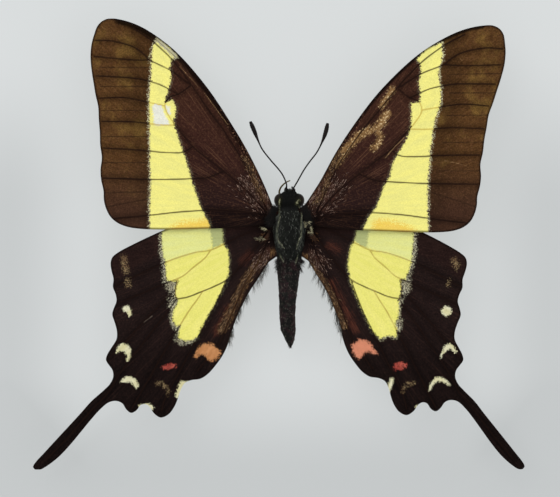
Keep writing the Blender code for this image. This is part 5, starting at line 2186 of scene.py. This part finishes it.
@dataclass
class Butterfly:
    """The whole insect."""

    form: BodyForm = field(default_factory=BodyForm)

    def build(self) -> None:
        """Build the wings, the body with its coat, the eyes and the limbs."""
        effects = Effects()
        finishes = {Layer.FORE: FORE_FINISH.material(effects),
                    Layer.HIND: HIND_FINISH.material(effects)}
        wings = {}
        for layer in Layer:
            for side in Side:
                wing = Wing(layer, side)
                wing.build(finishes)
                wings[layer, side] = wing
        woolly = HairFinish("thorax_hair", root="090908", tip="262823", gleam="9a9e92",
                            blotch="20221d", bright_from=0.91).hair()
        stripe = HairFinish("stripe_hair", root="2c2e22", tip="9a9b7e", gleam="dcdaba",
                            blotch="4e5040", bright_from=0.74).hair()
        smooth = HairFinish("abdomen_hair", root="080706", tip="1e1a17", gleam="8a8378",
                            striped="9a968a", blotch="371f23", bright_from=0.87).hair()
        dark = HairFinish("head_hair", root="060605", tip="1a1a17", marked="e4e0b0",
                          gleam="3f403a", striped="66663a", blotch="0d0d0c",
                          bright_from=0.91).hair()
        furs = {"head": dark, "thorax": woolly, "abdomen": smooth}
        self.form.build(HairFinish("body", root="0a0a09", tip="1f1e1a", marked="7d7b66").skin())
        BrowFur("coat_brow", 3000, 17).build(self.form, dark)
        for side in Side:
            marks = MARKINGS[side]
            StripeFur(f"stripe_{side.word}", side, (marks.stripe,) + marks.strands,
                      41 + side.value).build(self.form, stripe)
        for coat in BODY_COATS:
            coat.build(self.form, furs[coat.slot])
        eye = EyeFinish().material()
        for side in Side:
            Eye(side).build(eye)
        Limbs(self.form).build()
        self.wing_hair(wings)

    @staticmethod
    def wing_hair(wings: dict) -> None:
        """Grow the hair of the wings' roots and of the hindwings' inner edges.

        Args:
            wings: the wings by layer and side.
        """
        grey = HairFinish("fringe_hair", root="4a463f", tip="8d8a84", marked="b9ad8c",
                          gleam="a5a29b").hair()
        cream = HairFinish("cream_hair", root="4f4b36", tip="a39c78", marked="c2ba96",
                           gleam="ccc5a6", blotch="6f6a4e").hair()
        copper = HairFinish("copper_hair", root="281711", tip="704632", gleam="f0cdb8",
                            blotch="46291e", bright_from=0.64).hair()
        gilt = HairFinish("gilt_hair", root="281a11", tip="855f3c", gleam="e2b886",
                          blotch="533822", bright_from=0.60).hair()
        tawny = HairFinish("tawny_hair", root="24160f", tip="6b4628", gleam="b98450",
                           blotch="402819", bright_from=0.78).hair()
        black = HairFinish("root_hair", root="080706", tip="171311", marked="3a352e",
                           gleam="4e433a", blotch="100d0c", bright_from=0.94).hair()
        for side in Side:
            marks = MARKINGS[side]
            hind = wings[Layer.HIND, side]
            fore = wings[Layer.FORE, side]
            turn = side.value
            WingHair(f"fringe_{side.word}", hind, HIND_INNER[4:], count=330, length=(0.9, 1.9),
                     width=0.028, heading=(-0.12, -1.0), scatter=0.05, lift=(-0.05, 0.1),
                     seed=121 + turn, wisps=42, seen=False, stray=0.22).build(grey)
            for i, line in enumerate(marks.tufts):
                WingHair(f"cream_{i}_{side.word}", hind, line, count=90 // len(marks.tufts),
                         length=(0.3, 0.6), width=0.024, heading=(0.9, -0.3), scatter=0.09,
                         lift=(0.1, 0.35), seed=221 + 10 * i + turn, wisps=24, pale=1.0,
                         height=1.05 if line[0][1] > 1.9 else 0.12, stray=0.6).build(cream)
            WingHair(f"copper_fore_{side.word}", fore, COPPER_FORE, count=1100,
                     length=(0.6, 1.3), width=0.048, heading=FORE_FAN, scatter=0.85,
                     lift=(0.02, 0.08), seed=321 + turn, wisps=800, seen=False, height=0.10,
                     stray=0.16, fan=True, kept=True).build(copper)
            WingHair(f"copper_hind_{side.word}", hind, COPPER_HIND, count=420,
                     length=(0.5, 1.0), width=0.055, heading=HIND_FAN, scatter=0.60,
                     lift=(0.03, 0.12), seed=331 + turn, wisps=260, height=0.10, fan=True,
                     kept=True).build(copper)
            WingHair(f"tawny_hind_{side.word}", hind, TAWNY_HIND, count=190,
                     length=(0.5, 1.0), width=0.045, heading=HIND_FAN, scatter=0.26,
                     lift=(0.03, 0.12), seed=371 + turn, wisps=150, height=0.10, fan=True,
                     kept=True).build(tawny)
            WingHair(f"waist_{side.word}", hind, WAIST_LINE, count=140, length=(0.6, 1.2),
                     width=0.030, heading=(0.62, -0.8), scatter=0.06, lift=(-0.3, 0.2),
                     seed=381 + turn, wisps=20, height=-0.7, stray=0.30).build(black)
            WingHair(f"streak_hind_{side.word}", hind, marks.hair, count=900,
                     length=(0.6, 1.3), width=0.055, heading=(0.62, -0.78), scatter=0.30,
                     lift=(0.02, 0.10), seed=361 + turn, wisps=520, height=0.09, stray=0.12,
                     kept=True).build(gilt)
            WingHair(f"gilt_fore_{side.word}", fore, marks.gilt, count=460, length=(0.4, 0.9),
                     width=0.055, heading=FORE_FAN, scatter=0.26, lift=(0.03, 0.12),
                     seed=341 + turn, wisps=300, height=0.12, fan=True, kept=True).build(gilt)
            WingHair(f"root_hair_{side.word}", fore, ROOT_LINE, count=900, length=(0.5, 1.2),
                     width=0.060, heading=(0.75, -0.65), scatter=0.24, lift=(0.10, 0.35),
                     seed=351 + turn, wisps=420, height=0.06, stray=0.35).build(black)


def main() -> None:
    """Build the scene."""
    logging.basicConfig(level=logging.INFO, format="%(name)s %(message)s")
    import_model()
    Studio().build()
    Butterfly().build()


if __name__ == "__main__":
    main()
